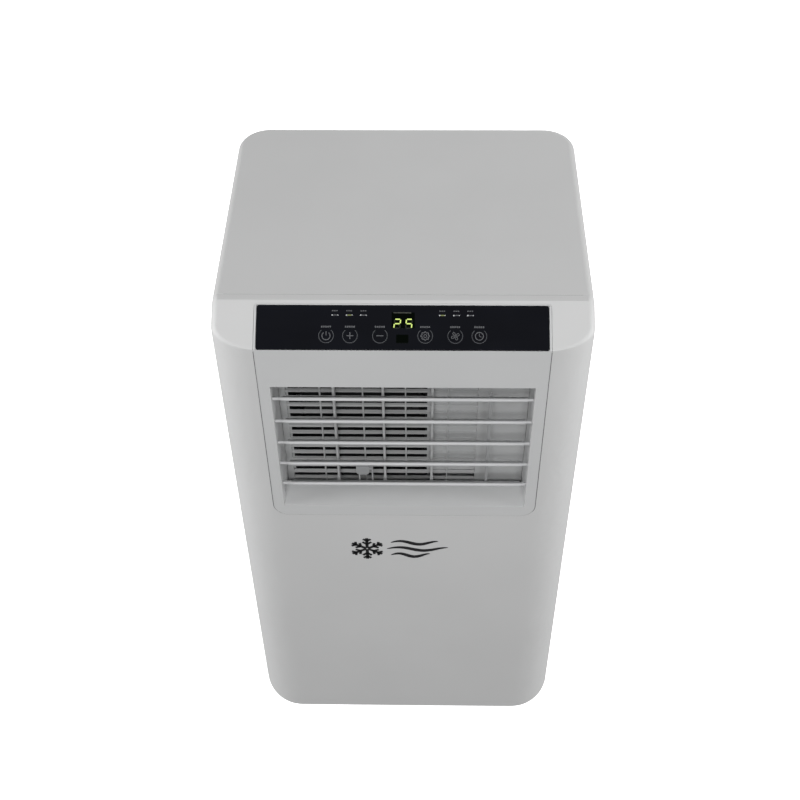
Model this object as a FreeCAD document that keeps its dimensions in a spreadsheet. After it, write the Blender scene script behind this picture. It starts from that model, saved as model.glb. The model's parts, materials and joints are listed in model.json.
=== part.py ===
import FreeCAD, Part
import Sketcher
import math
import os

# A portable air conditioner on four casters, as separate pieces.
# +X runs from the machine's left to its right as seen from the front, +Y goes to the back and +Z is up.
# The origin is on the floor, under the middle of the casing. Sizes are in millimetres.
# A cell named *_in is a depth behind the front face, and *_up is a height above the casing's lower edge.

DIMENSIONS = {
    # casing
    "width": 330,
    "depth": 293,
    "base_z": 50,
    "casing_height": 620,
    "wall": 3,
    "front_corner_x": 44,
    "front_corner_y": 22,
    "back_corner": 30,
    "flank_radius": 36,
    "top_edge": 7,
    "slope_angle": 32.4,
    "slope_length": 44.4,
    "seam_gap": 0.4,
    "seam_in": 44.7,
    "lid_edge": 8,
    # outlet bezel
    "fit_gap": 0.3,
    "bezel_half": 127.3,
    "bezel_low_up": 369.4,
    "bezel_corner": 15,
    "bezel_top_corner": 3,
    "bezel_slope": 41.3,
    "skin": 2,
    "outlet_half": 116.8,
    "outlet_low_up": 384.3,
    "outlet_high_up": 550.8,
    "ledge_in": 31,
    "well_up": 364,
    "tunnel_in": 47,
    # control panel, measured from the slope's lower edge
    "lens_half": 125.3,
    "lens_low": 0.35,
    "lens_high": 39.8,
    "lens_thick": 1.6,
    "lens_corner": 2,
    "display_left": 10.6,
    "display_right": 8.4,
    "display_low": 20.1,
    "display_high": 34.7,
    "sensor_half": 5.2,
    "sensor_low": 8.3,
    "sensor_high": 15.8,
    "indicator_up": 31.3,
    "indicator_long": 5.8,
    "indicator_high": 1.3,
    "board_in": 12,
    "board_thick": 1.6,
    # level louvres
    "louvre_left": 108.4,
    "louvre_right": 111.4,
    "louvre_nose": 4,
    "louvre_tail": 12,
    "louvre_thick": 3.4,
    "louvre_in": 7,
    "louvre_top_up": 528.3,
    "louvre_pitch": 29.6,
    "louvre_tilt": 42,
    "louvre_pin": 1.5,
    "running_gap": 0.06,
    "crank_arm": 9.5,
    "crank_pin": 0.9,
    "crank_x": 79.2,
    "crank_notch": 5.6,
    # upright vanes
    "vane_first": 64.4,
    "vane_pitch": 45.5,
    "vane_nose": 1.6,
    "vane_tail": 9,
    "vane_thick": 2,
    "vane_in": 29,
    "vane_pin": 1.2,
    "vane_arm": 7,
    "link_rise": 6.7,
    "link_thick": 2.2,
    "link_half": 1.8,
    "tab_x": 40.2,
    "tab_half": 6.3,
    "tab_rise": 13.9,
    "tab_height": 12,
    "tab_corner": 4,
    # guard behind the vanes
    "guard_in": 42,
    "guard_thick": 3.2,
    "slat_pitch": 9.7,
    "slat_gap": 7.6,
    "slat_first": 2.4,
    "guard_skin": 1.2,
    "guard_skin_rise": 22,
    "slot_left": 111,
    "slot_right": 70,
    "rib_pitch": 40.1,
    "rib_first": 78.6,
    "rib_thick": 1.4,
    # back of the casing
    "grille_half": 118,
    "upper_low_up": 352,
    "upper_high_up": 580,
    "lower_low_up": 46,
    "lower_high_up": 168,
    "grille_frame": 7,
    "grille_slot": 5.5,
    "grille_pitch": 10.4,
    "filter_thick": 3,
    "port_radius": 65,
    "port_up": 250,
    "port_length": 21,
    "collar_wall": 2.3,
    "collar_flange": 3,
    "grid_in": 12,
    "grid_bar": 2,
    "grid_pitch": 24,
    "drain_x": 95,
    "upper_drain_up": 334,
    "lower_drain_up": 14,
    "drain_radius": 6,
    "gland_x": 112,
    "gland_up": 22,
    "gland_radius": 9,
    "cord_radius": 4,
    "grip_half": 48,
    "grip_rise": 14,
    "grip_deep": 20,
    "grip_y": 40,
    "grip_up": 556,
    "screw_x": 128,
    "screw_head": 3.8,
    # casters
    "caster_x": 102,
    "caster_y": 104,
    "wheel_radius": 19,
    "wheel_width": 16,
    "caster_trail": 11,
    "stem_radius": 5,
    "axle_radius": 3,
    # cold side
    "tray_up": 324,
    "evaporator_y": 96,
    "coil_half": 112,
    "coil_thick": 26,
    "blower_y": 4,
    "blower_up": 455,
    "blower_radius": 70,
    "blower_left": 110.5,
    "blower_right": 22,
    "shaft_radius": 4,
    # warm side
    "fan_y": 10,
    "fan_up": 240,
    "fan_radius": 54,
    "fan_left": 18,
    "fan_right": 54,
    "compressor_x": 76,
    "compressor_y": 36,
    "compressor_radius": 50,
    "compressor_height": 210,
    "pipe_radius": 4,
    "capillary_radius": 1.5,
    "splash_radius": 28,
    "float_radius": 11,
}

SIDES = {"left": -1, "right": 1}
LOUVRES = 5
VANES = 3
X, Y, Z = FreeCAD.Vector(1, 0, 0), FreeCAD.Vector(0, 1, 0), FreeCAD.Vector(0, 0, 1)

doc = FreeCAD.newDocument("portable_air_conditioner")
sheet = doc.addObject("Spreadsheet::Sheet", "Sheet")
for row, (alias, number) in enumerate(DIMENSIONS.items(), start=1):
    sheet.set(f"A{row}", alias)
    sheet.set(f"B{row}", str(number))
    sheet.setAlias(f"B{row}", alias)
doc.recompute()


class Size:
    """A number together with its expression over the sheet's cells."""

    def __init__(self, number, text):
        self.number = float(number)
        self.text = text

    def __float__(self):
        return self.number

    def __neg__(self):
        return Size(-self.number, f"(-1 * {self.text})")

    def __add__(self, other):
        other = size(other)
        return Size(self.number + other.number, f"({self.text} + {other.text})")

    def __sub__(self, other):
        other = size(other)
        return Size(self.number - other.number, f"({self.text} - {other.text})")

    def __mul__(self, other):
        other = size(other)
        return Size(self.number * other.number, f"({self.text} * {other.text})")

    def __truediv__(self, other):
        other = size(other)
        return Size(self.number / other.number, f"({self.text} / {other.text})")

    def __radd__(self, other):
        return size(other) + self

    def __rsub__(self, other):
        return size(other) - self

    def __rmul__(self, other):
        return size(other) * self


def size(amount):
    return amount if isinstance(amount, Size) else Size(amount, f"({amount})")


def cell(name):
    return Size(DIMENSIONS[name], f"Sheet.{name}")


def cosine(angle):
    return Size(math.cos(math.radians(angle.number)), f"cos({angle.text} * 1 deg)")


def sine(angle):
    return Size(math.sin(math.radians(angle.number)), f"sin({angle.text} * 1 deg)")


WALL = cell("wall")
SKIN = cell("skin")
HALF = cell("width") / 2
BACK = cell("depth") / 2
FRONT = -BACK
BASE = cell("base_z")
TOP = BASE + cell("casing_height")
RUN = cell("slope_length") * cosine(cell("slope_angle"))
DROP = cell("slope_length") * sine(cell("slope_angle"))
SEAM = FRONT + cell("seam_in")
FIT = cell("fit_gap")
RUNNING = cell("running_gap")

PARTS = []


def up(name):
    """The height of a cell that is measured above the casing's lower edge."""
    return BASE + cell(name)


def add(kind, name):
    return doc.addObject(kind, name)


def bind(item, **amounts):
    """Binds properties to sizes. A double underscore in a name stands for a dot."""
    for name, amount in amounts.items():
        item.setExpression(name.replace("__", "."), size(amount).text)
    return item


def put(item, x, y, z, axis=None, angle=0):
    """Turns the item about an axis through its own origin, then moves that origin to x, y, z."""
    if axis is not None:
        item.Placement = FreeCAD.Placement(FreeCAD.Vector(), FreeCAD.Rotation(axis, float(angle)))
    return bind(item, Placement__Base__x=x, Placement__Base__y=y, Placement__Base__z=z)


def box(name, x, y, z):
    """A block between two coordinates on each axis."""
    item = bind(add("Part::Box", name), Length=x[1] - x[0], Width=y[1] - y[0], Height=z[1] - z[0])
    return put(item, x[0], y[0], z[0])


def across(half):
    """The pair of coordinates that lie one half either side of the middle."""
    return -half, size(half)


def around(middle, half):
    return size(middle) - half, size(middle) + half


def rod(name, along, x, y, z, radius, length):
    """A cylinder that starts at x, y, z and runs along the positive axis."""
    item = bind(add("Part::Cylinder", name), Radius=radius, Height=length)
    if along == X:
        return put(item, x, y, z, Y, 90)
    if along == Y:
        return put(item, x, y, z, X, -90)
    return put(item, x, y, z)


def ball(name, x, y, z, radius):
    return put(bind(add("Part::Sphere", name), Radius=radius), x, y, z)


def fuse(name, *items):
    joined = add("Part::MultiFuse", name)
    joined.Shapes = list(items)
    joined.Refine = True
    return joined


def cut(name, base, *tools):
    less = add("Part::Cut", name)
    less.Base = base
    less.Tool = tools[0] if len(tools) == 1 else fuse(f"{name}_tools", *tools)
    less.Refine = True
    return less


def common(name, *items):
    shared = add("Part::MultiCommon", name)
    shared.Shapes = list(items)
    shared.Refine = True
    return shared


def rounded(name, base, radius, along):
    """Rounds every straight edge of the base that runs along the axis and passes the test."""
    doc.recompute()
    axis, test = along
    item = add("Part::Fillet", name)
    item.Base = base
    chosen = []
    for number, edge in enumerate(base.Shape.Edges, start=1):
        middle = edge.CenterOfMass
        straight = edge.Curve.TypeId == "Part::GeomLine"
        if straight and edge.tangentAt(edge.FirstParameter).cross(axis).Length < 1e-6 and test(middle):
            chosen.append((number, float(radius), float(radius)))
    item.Edges = chosen
    return item


def slab_on_slope(name, x, s, n):
    """A block on the control slope: s runs up the slope from its lower edge and n out of its face."""
    item = bind(add("Part::Box", name), Length=x[1] - x[0], Width=s[1] - s[0], Height=n[1] - n[0])
    return put(item, x[0], *slope_point(s[0], n[0]), X, DIMENSIONS["slope_angle"])


def slope_point(s, n):
    angle = cell("slope_angle")
    return FRONT + s * cosine(angle) - n * sine(angle), TOP - DROP + s * sine(angle) + n * cosine(angle)


def plane_of(body, role):
    """The body's own origin plane with this role."""
    return next(item for item in body.Origin.OriginFeatures if item.Role == role)


def place_corner(sketch, index, amount, direction, axis):
    """Holds the start of a line at a distance from the sketch's origin, or on the axis where it is nought."""
    if float(amount) == 0:
        sketch.addConstraint(Sketcher.Constraint("PointOnObject", index, 1, axis))
        return
    number = sketch.addConstraint(Sketcher.Constraint(direction, -1, 1, index, 1, float(amount)))
    sketch.setExpression(f"Constraints[{number}]", size(amount).text)


def turned(name, outline):
    """A body of revolution about its own Z from a half section of (radius, height) pairs."""
    body = add("PartDesign::Body", name)
    sketch = body.newObject("Sketcher::SketchObject", f"{name}_section")
    sketch.AttachmentSupport = [(plane_of(body, "XZ_Plane"), "")]
    sketch.MapMode = "FlatFace"
    corners = [FreeCAD.Vector(float(radius), float(height), 0) for radius, height in outline]
    for start, end in zip(corners, corners[1:] + corners[:1]):
        sketch.addGeometry(Part.LineSegment(start, end))
    for index, (radius, height) in enumerate(outline):
        before = (index or len(outline)) - 1
        sketch.addConstraint(Sketcher.Constraint("Coincident", before, 2, index, 1))
        place_corner(sketch, index, radius, "DistanceX", -2)
        place_corner(sketch, index, height, "DistanceY", -1)
    turn = body.newObject("PartDesign::Revolution", f"{name}_turn")
    turn.Profile = sketch
    turn.ReferenceAxis = (sketch, ["V_Axis"])
    turn.Angle = 360
    body.Tip = turn
    return body


def padded(name, radius, height, edge_radius):
    """A round body with both of its rims rounded."""
    body = add("PartDesign::Body", name)
    sketch = body.newObject("Sketcher::SketchObject", f"{name}_circle")
    sketch.AttachmentSupport = [(plane_of(body, "XY_Plane"), "")]
    sketch.MapMode = "FlatFace"
    sketch.addGeometry(Part.Circle(FreeCAD.Vector(), Z, float(radius)))
    sketch.addConstraint(Sketcher.Constraint("Coincident", 0, 3, -1, 1))
    number = sketch.addConstraint(Sketcher.Constraint("Radius", 0, float(radius)))
    sketch.setExpression(f"Constraints[{number}]", size(radius).text)
    pad = bind(body.newObject("PartDesign::Pad", f"{name}_pad"), Length=height)
    pad.Profile = sketch
    doc.recompute()
    rims = [f"Edge{number}" for number, edge in enumerate(pad.Shape.Edges, start=1)
            if edge.Curve.TypeId == "Part::GeomCircle"]
    soft = bind(body.newObject("PartDesign::Fillet", f"{name}_rims"), Radius=edge_radius)
    soft.Base = (pad, rims)
    body.Tip = soft
    return body


def part(label, item):
    """Makes the item a sub-part: its label names its file."""
    item.Label = label
    PARTS.append(item)
    return item


# ---- the casing's two forms: the outside, and the same shape inset by the wall ----

def plan_face(inset):
    """The plan at z = 0: elliptical corners at the front and round ones at the back."""
    half, front, back = float(HALF) - inset, float(FRONT) + inset, float(BACK) - inset
    across_corner = DIMENSIONS["front_corner_x"] - inset
    along_corner = DIMENSIONS["front_corner_y"] - inset
    radius = DIMENSIONS["back_corner"] - inset

    def ellipse(side, start, end):
        middle = FreeCAD.Vector(side * (half - across_corner), front + along_corner, 0)
        return Part.Arc(Part.Ellipse(middle, across_corner, along_corner), start, end).toShape()

    def circle(side, start, end):
        middle = FreeCAD.Vector(side * (half - radius), back - radius, 0)
        return Part.Arc(Part.Circle(middle, Z, radius), start, end).toShape()

    def line(x0, y0, x1, y1):
        return Part.LineSegment(FreeCAD.Vector(x0, y0, 0), FreeCAD.Vector(x1, y1, 0)).toShape()

    edges = [
        line(-half + across_corner, front, half - across_corner, front),
        ellipse(1, -math.pi / 2, 0),
        line(half, front + along_corner, half, back - radius),
        circle(1, 0, math.pi / 2),
        line(half - radius, back, -half + radius, back),
        circle(-1, math.pi / 2, math.pi),
        line(-half, back - radius, -half, front + along_corner),
        ellipse(-1, math.pi, 3 * math.pi / 2),
    ]
    return Part.Face(Part.Wire(edges))


def side_face(inset):
    """The side view on the plane x = 0: a box with the control slope cut off its upper front corner."""
    front, back = float(FRONT) + inset, float(BACK) - inset
    low, high = float(BASE) + inset, float(TOP) - inset
    angle = math.radians(DIMENSIONS["slope_angle"])
    foot_rise = inset * (1 - math.sin(angle)) / math.cos(angle) * math.sin(angle) - inset * math.cos(angle)
    head_run = (float(DROP) - inset + inset * math.cos(angle)) / math.tan(angle) + inset * math.sin(angle)
    foot = FreeCAD.Vector(0, front, float(TOP) - float(DROP) + foot_rise)
    head = FreeCAD.Vector(0, float(FRONT) + head_run, high)
    bottom = [FreeCAD.Vector(0, back, low), FreeCAD.Vector(0, front, low)]
    corners = [*bottom, foot, head, FreeCAD.Vector(0, back, high)]
    return Part.Face(Part.makePolygon(corners + corners[:1]))


def casing_form(name, inset):
    """The casing as one block: round flanks underneath, and soft edges round its top and its slope's ends."""
    half, depth = float(HALF) - inset, DIMENSIONS["depth"]
    low, high = float(BASE) + inset, float(TOP) - inset
    plan = plan_face(inset)
    plan.translate(FreeCAD.Vector(0, 0, low))
    block = plan.extrude(FreeCAD.Vector(0, 0, high - low))
    side = side_face(inset)
    side.translate(FreeCAD.Vector(-half - 1, 0, 0))
    block = block.common(side.extrude(FreeCAD.Vector(2 * half + 2, 0, 0)))
    flanks = Part.makeBox(2 * half, depth, 2 * (high - low), FreeCAD.Vector(-half, -depth / 2, low))
    lower = [edge for edge in flanks.Edges if edge.CenterOfMass.z < low + 1 and abs(edge.CenterOfMass.x) > 1]
    block = block.common(flanks.makeFillet(DIMENSIONS["flank_radius"] - inset, lower))
    feature = add("Part::Feature", f"{name}_block")
    feature.Shape = block
    return soft_rim(name, feature, DIMENSIONS["top_edge"] - inset, high)


def soft_rim(name, block, radius, high):
    """Rounds the top's rim and the slope's two ends. The rounding fades out at the slope's lower corners."""
    faded, near = 1, 0.6
    item = add("Part::Fillet", name)
    item.Base = block
    chosen = []
    for number, edge in enumerate(block.Shape.Edges, start=1):
        bounds, start = edge.BoundBox, edge.valueAt(edge.FirstParameter)
        level = bounds.ZMax - bounds.ZMin < 1
        if bounds.ZMin > high - near and level and edge.CenterOfMass.y > float(FRONT + RUN) + near:
            chosen.append((number, radius, radius))
        elif bounds.ZMin > float(TOP - DROP) - near and not level:
            ends = (radius, radius)
            if edge.Curve.TypeId != "Part::GeomLine":
                ends = (faded, radius) if start.z < edge.CenterOfMass.z else (radius, faded)
            chosen.append((number, *ends))
    item.Edges = chosen
    return item


outside = casing_form("casing_outside", 0)
inside = casing_form("casing_inside", DIMENSIONS["wall"])
floor_hole = box("casing_floor_hole", across(HALF - cell("flank_radius")), across(BACK - WALL),
                 (BASE - 1, BASE + WALL + 1))
shell = cut("casing_shell", outside, inside, floor_hole)
SLOPE_END = cell("bezel_slope") * cosine(cell("slope_angle"))


def bezel_outline(name, gap):
    """The block that holds the bezel: its front view with round corners, back to its edge on the slope."""
    half = cell("bezel_half") + gap
    block = box(name, across(half), (FRONT - 1, FRONT + SLOPE_END + gap),
                (up("bezel_low_up") - gap, TOP + 1))
    low = float(up("bezel_low_up"))
    lower = (Y, lambda middle: middle.z < low + 1)
    soft = rounded(f"{name}_low", block, cell("bezel_corner") + gap, lower)
    back = float(FRONT + SLOPE_END)
    upper = (Z, lambda middle: middle.y > back - 1)
    return rounded(f"{name}_soft", soft, cell("bezel_top_corner") + gap, upper)


def front_casing():
    reach = box("front_reach", across(HALF + 5), (FRONT - 1, SEAM - cell("seam_gap") / 2),
                (BASE - 1, TOP + 1))
    front = common("front_shell", shell, reach)
    part("front_casing", cut("front_with_window", front, bezel_outline("bezel_gap", FIT)))


SCREW_ROWS = [up("lower_low_up") + 24, up("port_up") - 45, up("port_up") + 62, up("upper_high_up") + 12]
LID = TOP - cell("lid_edge")
DRAINS = {"upper": up("upper_drain_up"), "lower": up("lower_drain_up")}
GRILLES = {"upper": ("upper_low_up", "upper_high_up"), "lower": ("lower_low_up", "lower_high_up")}
BOSS = {"drain": 14, "gland": 18, "screw": 10}
BOSS_WALL = {"drain": 3.5, "gland": 3, "screw": 4}
SCREW_BORE = 2
PORT_OUTER = cell("port_radius") + cell("collar_wall")
GRIP_OUTER = cell("grip_half") + SKIN
GRIP_RISE = cell("grip_rise") + SKIN


def back_rod(name, x, z, radius, depth, past=1.0):
    """A rod along Y that starts this deep inside the back face and ends past it, or short of it."""
    return rod(name, Y, x, BACK - depth, z, radius, depth + past)


def at_screws(name, radius, depth, past=1.0):
    """A rod at each casing screw, on both sides."""
    return [back_rod(f"{name}_{side}_{row}", sign * cell("screw_x"), z, radius, depth, past)
            for side, sign in SIDES.items() for row, z in enumerate(SCREW_ROWS)]


def sideways(sign, near, far):
    """The pair of X coordinates between two distances from the middle, on the side that the sign says."""
    return tuple(sorted((sign * near, sign * far), key=float))


def rear_casing():
    reach = box("rear_reach", across(HALF + 5), (SEAM + cell("seam_gap") / 2, BACK + 5),
                (BASE - 1, LID - cell("seam_gap") / 2))
    body = common("rear_shell", shell, reach)
    drain_x, gland_x, gland_z = -cell("drain_x"), cell("gland_x"), up("gland_up")
    bosses = [back_rod(f"drain_boss_{name}", drain_x, z, cell("drain_radius") + BOSS_WALL["drain"],
                       BOSS["drain"], -1) for name, z in DRAINS.items()]
    bosses.append(back_rod("gland_boss", gland_x, gland_z, cell("gland_radius") + BOSS_WALL["gland"],
                           BOSS["gland"], -1))
    bosses += at_screws("screw_boss", SCREW_BORE + BOSS_WALL["screw"], BOSS["screw"], -1)
    holes = [box(f"{name}_window", across(cell("grille_half")), (BACK - 2 * WALL, BACK + 1),
                 (up(low), up(high))) for name, (low, high) in GRILLES.items()]
    holes.append(back_rod("port_hole", 0, up("port_up"), PORT_OUTER + FIT, 2 * WALL))
    for name, z in DRAINS.items():
        holes.append(back_rod(f"drain_bore_{name}", drain_x, z, cell("drain_radius"), BOSS["drain"] + 1))
        holes.append(back_rod(f"drain_seat_{name}", drain_x, z, cell("drain_radius") + 3, 3))
    holes.append(back_rod("gland_hole", gland_x, gland_z, cell("gland_radius"), BOSS["gland"] + 1))
    holes += at_screws("screw_seat", cell("screw_head") + 0.4, 2)
    holes += at_screws("screw_bore", SCREW_BORE, BOSS["screw"] + 1)
    holes += [box(f"{side}_grip_hole", sideways(sign, HALF - 2 * WALL, HALF + 1),
                  around(cell("grip_y"), GRIP_OUTER + FIT), around(up("grip_up"), GRIP_RISE + FIT))
              for side, sign in SIDES.items()]
    part("rear_casing", cut("rear_with_holes", fuse("rear_with_bosses", body, *bosses), *holes))


def top_cover():
    reach = box("lid_reach", across(HALF + 5), (SEAM + cell("seam_gap") / 2, BACK + 5),
                (LID + cell("seam_gap") / 2, TOP + 1))
    tab_x, tab_half, tab_down = HALF - WALL - 0.5, 9, 14
    tabs = [box(f"lid_tab_{side}_{row}", sideways(sign, tab_x - 2, tab_x), around(y, tab_half),
                (LID - tab_down, TOP - 1))
            for side, sign in SIDES.items() for row, y in enumerate((-70, 100))]
    lid = common("lid_shell", shell, reach)
    part("top_cover", fuse("lid_with_tabs", lid, *tabs))


def base_pan():
    """The floor tray, with a rim, a tube for each caster stem and the post that the float slides on."""
    half, depth, floor = HALF - cell("flank_radius") - FIT, BACK - WALL - FIT, BASE + WALL
    plate = box("pan_plate", across(half), across(depth), (BASE, floor))
    rim = box("pan_block", across(half), (-depth, PAN_BACK), (BASE, floor + PAN_RIM))
    hollow = box("pan_hollow", across(half - SKIN), (-depth + SKIN, PAN_BACK - SKIN),
                 (floor, floor + PAN_RIM + 1))
    tubes = [rod(f"pan_tube_{name}", Z, x, y, BASE + 1, cell("stem_radius") + TUBE_WALL, TUBE_LENGTH)
             for name, x, y in CASTERS]
    bores = [rod(f"pan_bore_{name}", Z, x, y, BASE - 1, cell("stem_radius") + RUNNING, TUBE_LENGTH + 4)
             for name, x, y in CASTERS]
    post = rod("float_post", Z, FLOAT_X, FLOAT_Y, BASE + 1, FLOAT_POST, 40)
    spout, bore = drain_spout("lower", PAN_BACK)
    pan = fuse("pan_with_tubes", plate, cut("pan_open", rim, hollow), *tubes, post, spout)
    part("base_pan", cut("pan_bored", pan, bore, *bores))


def drain_spout(name, wall_y):
    """A short tube from a tray's back wall to the drain boss, and the rod that bores it."""
    start = wall_y - SKIN
    length = BACK - BOSS["drain"] - start
    place = (-cell("drain_x"), start, DRAINS[name])
    spout = rod(f"{name}_spout", Y, *place, cell("drain_radius") + SKIN, length)
    bore = rod(f"{name}_spout_bore", Y, place[0], start - 1, place[2], cell("drain_radius"), length + 2)
    return spout, bore


PAN_BACK = BACK - 19
PAN_RIM = 19
TUBE_LENGTH, TUBE_WALL = 13, 4
FLOAT_X, FLOAT_Y, FLOAT_POST = 70, 60, 3
CASTERS = [(f"{end}_{side}", sign * cell("caster_x"), turn * cell("caster_y"))
           for end, turn in (("front", -1), ("back", 1)) for side, sign in SIDES.items()]


def casters():
    """Four swivelling forks. Each wheel's axle lies behind its stem, so the casters trail to the back."""
    for name, x, y in CASTERS:
        caster_fork(name, x, y)
        caster_wheel(name, x, y + cell("caster_trail"))


def caster_fork(name, x, y):
    """A crown with the stem above it, two cheeks beside the wheel and the axle across them."""
    wheel, width, axle = cell("wheel_radius"), cell("wheel_width"), y + cell("caster_trail")
    crown_z, cheek_gap, cheek = wheel * 2 + 3, 0.6, 2
    crown = rod(f"{name}_crown", Z, x, y, crown_z, 15, 3)
    collar = rod(f"{name}_collar", Z, x, y, crown_z + 2, 8, 6)
    stem = rod(f"{name}_stem", Z, x, y, crown_z, cell("stem_radius"), 22)
    inner = width / 2 + cheek_gap
    cheeks = [box(f"{name}_cheek_{side}", sorted((x + sign * inner, x + sign * (inner + cheek)), key=float),
                  (axle - 8, axle + 6), (wheel - 6, crown_z + 1)) for side, sign in SIDES.items()]
    pin = rod(f"{name}_axle", X, x - inner - 1, axle, wheel, cell("axle_radius"), 2 * inner + 2)
    part(f"caster_fork_{name}", fuse(f"{name}_fork", crown, stem, collar, *cheeks, pin))


def caster_wheel(name, x, axle):
    """A dished disc with a rounded tread, bored for the axle."""
    wheel, width, bore = cell("wheel_radius"), cell("wheel_width"), cell("axle_radius") + RUNNING
    hub, dish, tread, shoulder, dished = wheel * 0.42, wheel * 0.47, wheel - 1.5, wheel - 3, 2
    half_section = [(bore, 0), (hub, 0), (dish, dished), (shoulder, dished), (tread, 0.6), (wheel, 3)]
    outline = half_section + [(radius, width - height) for radius, height in reversed(half_section)]
    disc = turned(f"caster_wheel_{name}_body", outline)
    part(f"caster_wheel_{name}", put(disc, x - width / 2, axle, wheel, Y, 90))


# ---- outlet bezel and control panel ----

PIVOT_Y = FRONT + cell("louvre_in")
VANE_Y = FRONT + cell("vane_in")
LOUVRE_ROWS = [up("louvre_top_up") - row * cell("louvre_pitch") for row in range(LOUVRES)]
VANE_PLACES = [-cell("vane_first") + column * cell("vane_pitch") for column in range(VANES)]
INDICATORS = [-58, -46.1, -34.2, 30.9, 43.4, 55.8]
OPENING = (up("outlet_low_up"), up("outlet_high_up"))


def outlet_bezel():
    """One moulding: the face, which bends over on to the slope, and the tunnel behind the outlet."""
    half, ledge, back = cell("outlet_half"), FRONT + cell("ledge_in"), FRONT + cell("tunnel_in")
    face = common("bezel_face", cut("bezel_shell", outside, inside), bezel_outline("bezel_block", 0))
    mouth = box("tunnel_mouth", across(half + SKIN), (FRONT + 1, ledge),
                (OPENING[0] - SKIN, OPENING[1] + SKIN))
    well = box("tunnel_well", across(half + SKIN), (ledge - SKIN, back),
               (up("well_up") - SKIN, OPENING[1] + SKIN))
    posts = [rod_on_slope(f"board_post_{x}_{s}", x, s, -cell("board_in"), 3, cell("board_in") - 2)
             for x in (-112, 112) for s in (8, 34)]
    air = [box("mouth_air", across(half), (FRONT - 1, ledge + 1), OPENING),
           box("well_air", across(half), (ledge, back + 1), (up("well_up"), OPENING[1]))]
    seat = slab_on_slope("lens_seat", across(cell("lens_half") + FIT),
                         (cell("lens_low") - FIT, cell("lens_high") + FIT), (-cell("lens_thick") - 0.1, 2))
    solid = fuse("bezel_solid", face, mouth, well, *posts)
    part("outlet_bezel", cut("bezel_open", solid, *air, seat, *panel_holes(), *pivot_holes()))


def panel_holes():
    """The holes through the slope for the display, the receiver and each indicator."""
    through = (-6, 2)
    holes = [slab_on_slope("display_hole", (-cell("display_left") - FIT, cell("display_right") + FIT),
                           (cell("display_low") - FIT, cell("display_high") + FIT), through),
             slab_on_slope("sensor_hole", across(cell("sensor_half") + FIT),
                           (cell("sensor_low") - FIT, cell("sensor_high") + FIT), through)]
    return holes + [slab_on_slope(f"indicator_hole_{row}", around(x, cell("indicator_long") / 2 + FIT),
                                  around(cell("indicator_up"), cell("indicator_high") / 2 + FIT), through)
                    for row, x in enumerate(INDICATORS)]


def pivot_holes():
    """Bores across the tunnel for the louvres' pins, and down through it for the vanes' pins."""
    half, pivot = cell("outlet_half") + 5, cell("louvre_pin") + RUNNING
    level = [rod(f"louvre_bore_{row}", X, -half, PIVOT_Y, z, pivot, 2 * half)
             for row, z in enumerate(LOUVRE_ROWS)]
    upright = [rod(f"vane_bore_{row}", Z, x, VANE_Y, OPENING[0] - 4, cell("vane_pin") + RUNNING,
                   OPENING[1] - OPENING[0] + 8) for row, x in enumerate(VANE_PLACES)]
    return level + upright


def rod_on_slope(name, x, s, n, radius, length):
    item = bind(add("Part::Cylinder", name), Radius=radius, Height=length)
    return put(item, x, *slope_point(s, n), X, DIMENSIONS["slope_angle"])


def control_panel():
    under = -cell("lens_thick") - 0.15
    lens = slab_on_slope("lens_block", across(cell("lens_half")), (cell("lens_low"), cell("lens_high")),
                         (-cell("lens_thick"), 0))
    normal = FreeCAD.Rotation(X, DIMENSIONS["slope_angle"]).multVec(Z)
    part("control_lens", rounded("lens_soft", lens, cell("lens_corner"), (normal, lambda middle: True)))
    back = -cell("board_in")
    board = slab_on_slope("board_plate", across(118), (3, 39), (back - cell("board_thick"), back))
    chips = [slab_on_slope(f"board_chip_{x}", around(x, 7), around(20, 5), (back - 4.5, back - 1))
             for x in (-70, 60)]
    part("display_board", fuse("board", board, *chips))
    part("display_module", slab_on_slope("display_block", (-cell("display_left"), cell("display_right")),
                                         (cell("display_low"), cell("display_high")), (back, under)))
    part("ir_receiver", slab_on_slope("sensor_block", across(cell("sensor_half")),
                                      (cell("sensor_low"), cell("sensor_high")), (back, under)))
    bars = [slab_on_slope(f"indicator_bar_{row}", around(x, cell("indicator_long") / 2),
                          around(cell("indicator_up"), cell("indicator_high") / 2), (back, under))
            for row, x in enumerate(INDICATORS)]
    part("indicator_light_guides", fuse("indicator_bars", *bars))


# ---- louvres, vanes and their links ----

def louvre_point(arm, row):
    """Where a point this far behind the pivot of a louvre lies at rest."""
    tilt = cell("louvre_tilt")
    return PIVOT_Y + arm * cosine(tilt), LOUVRE_ROWS[row] - arm * sine(tilt)


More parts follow.
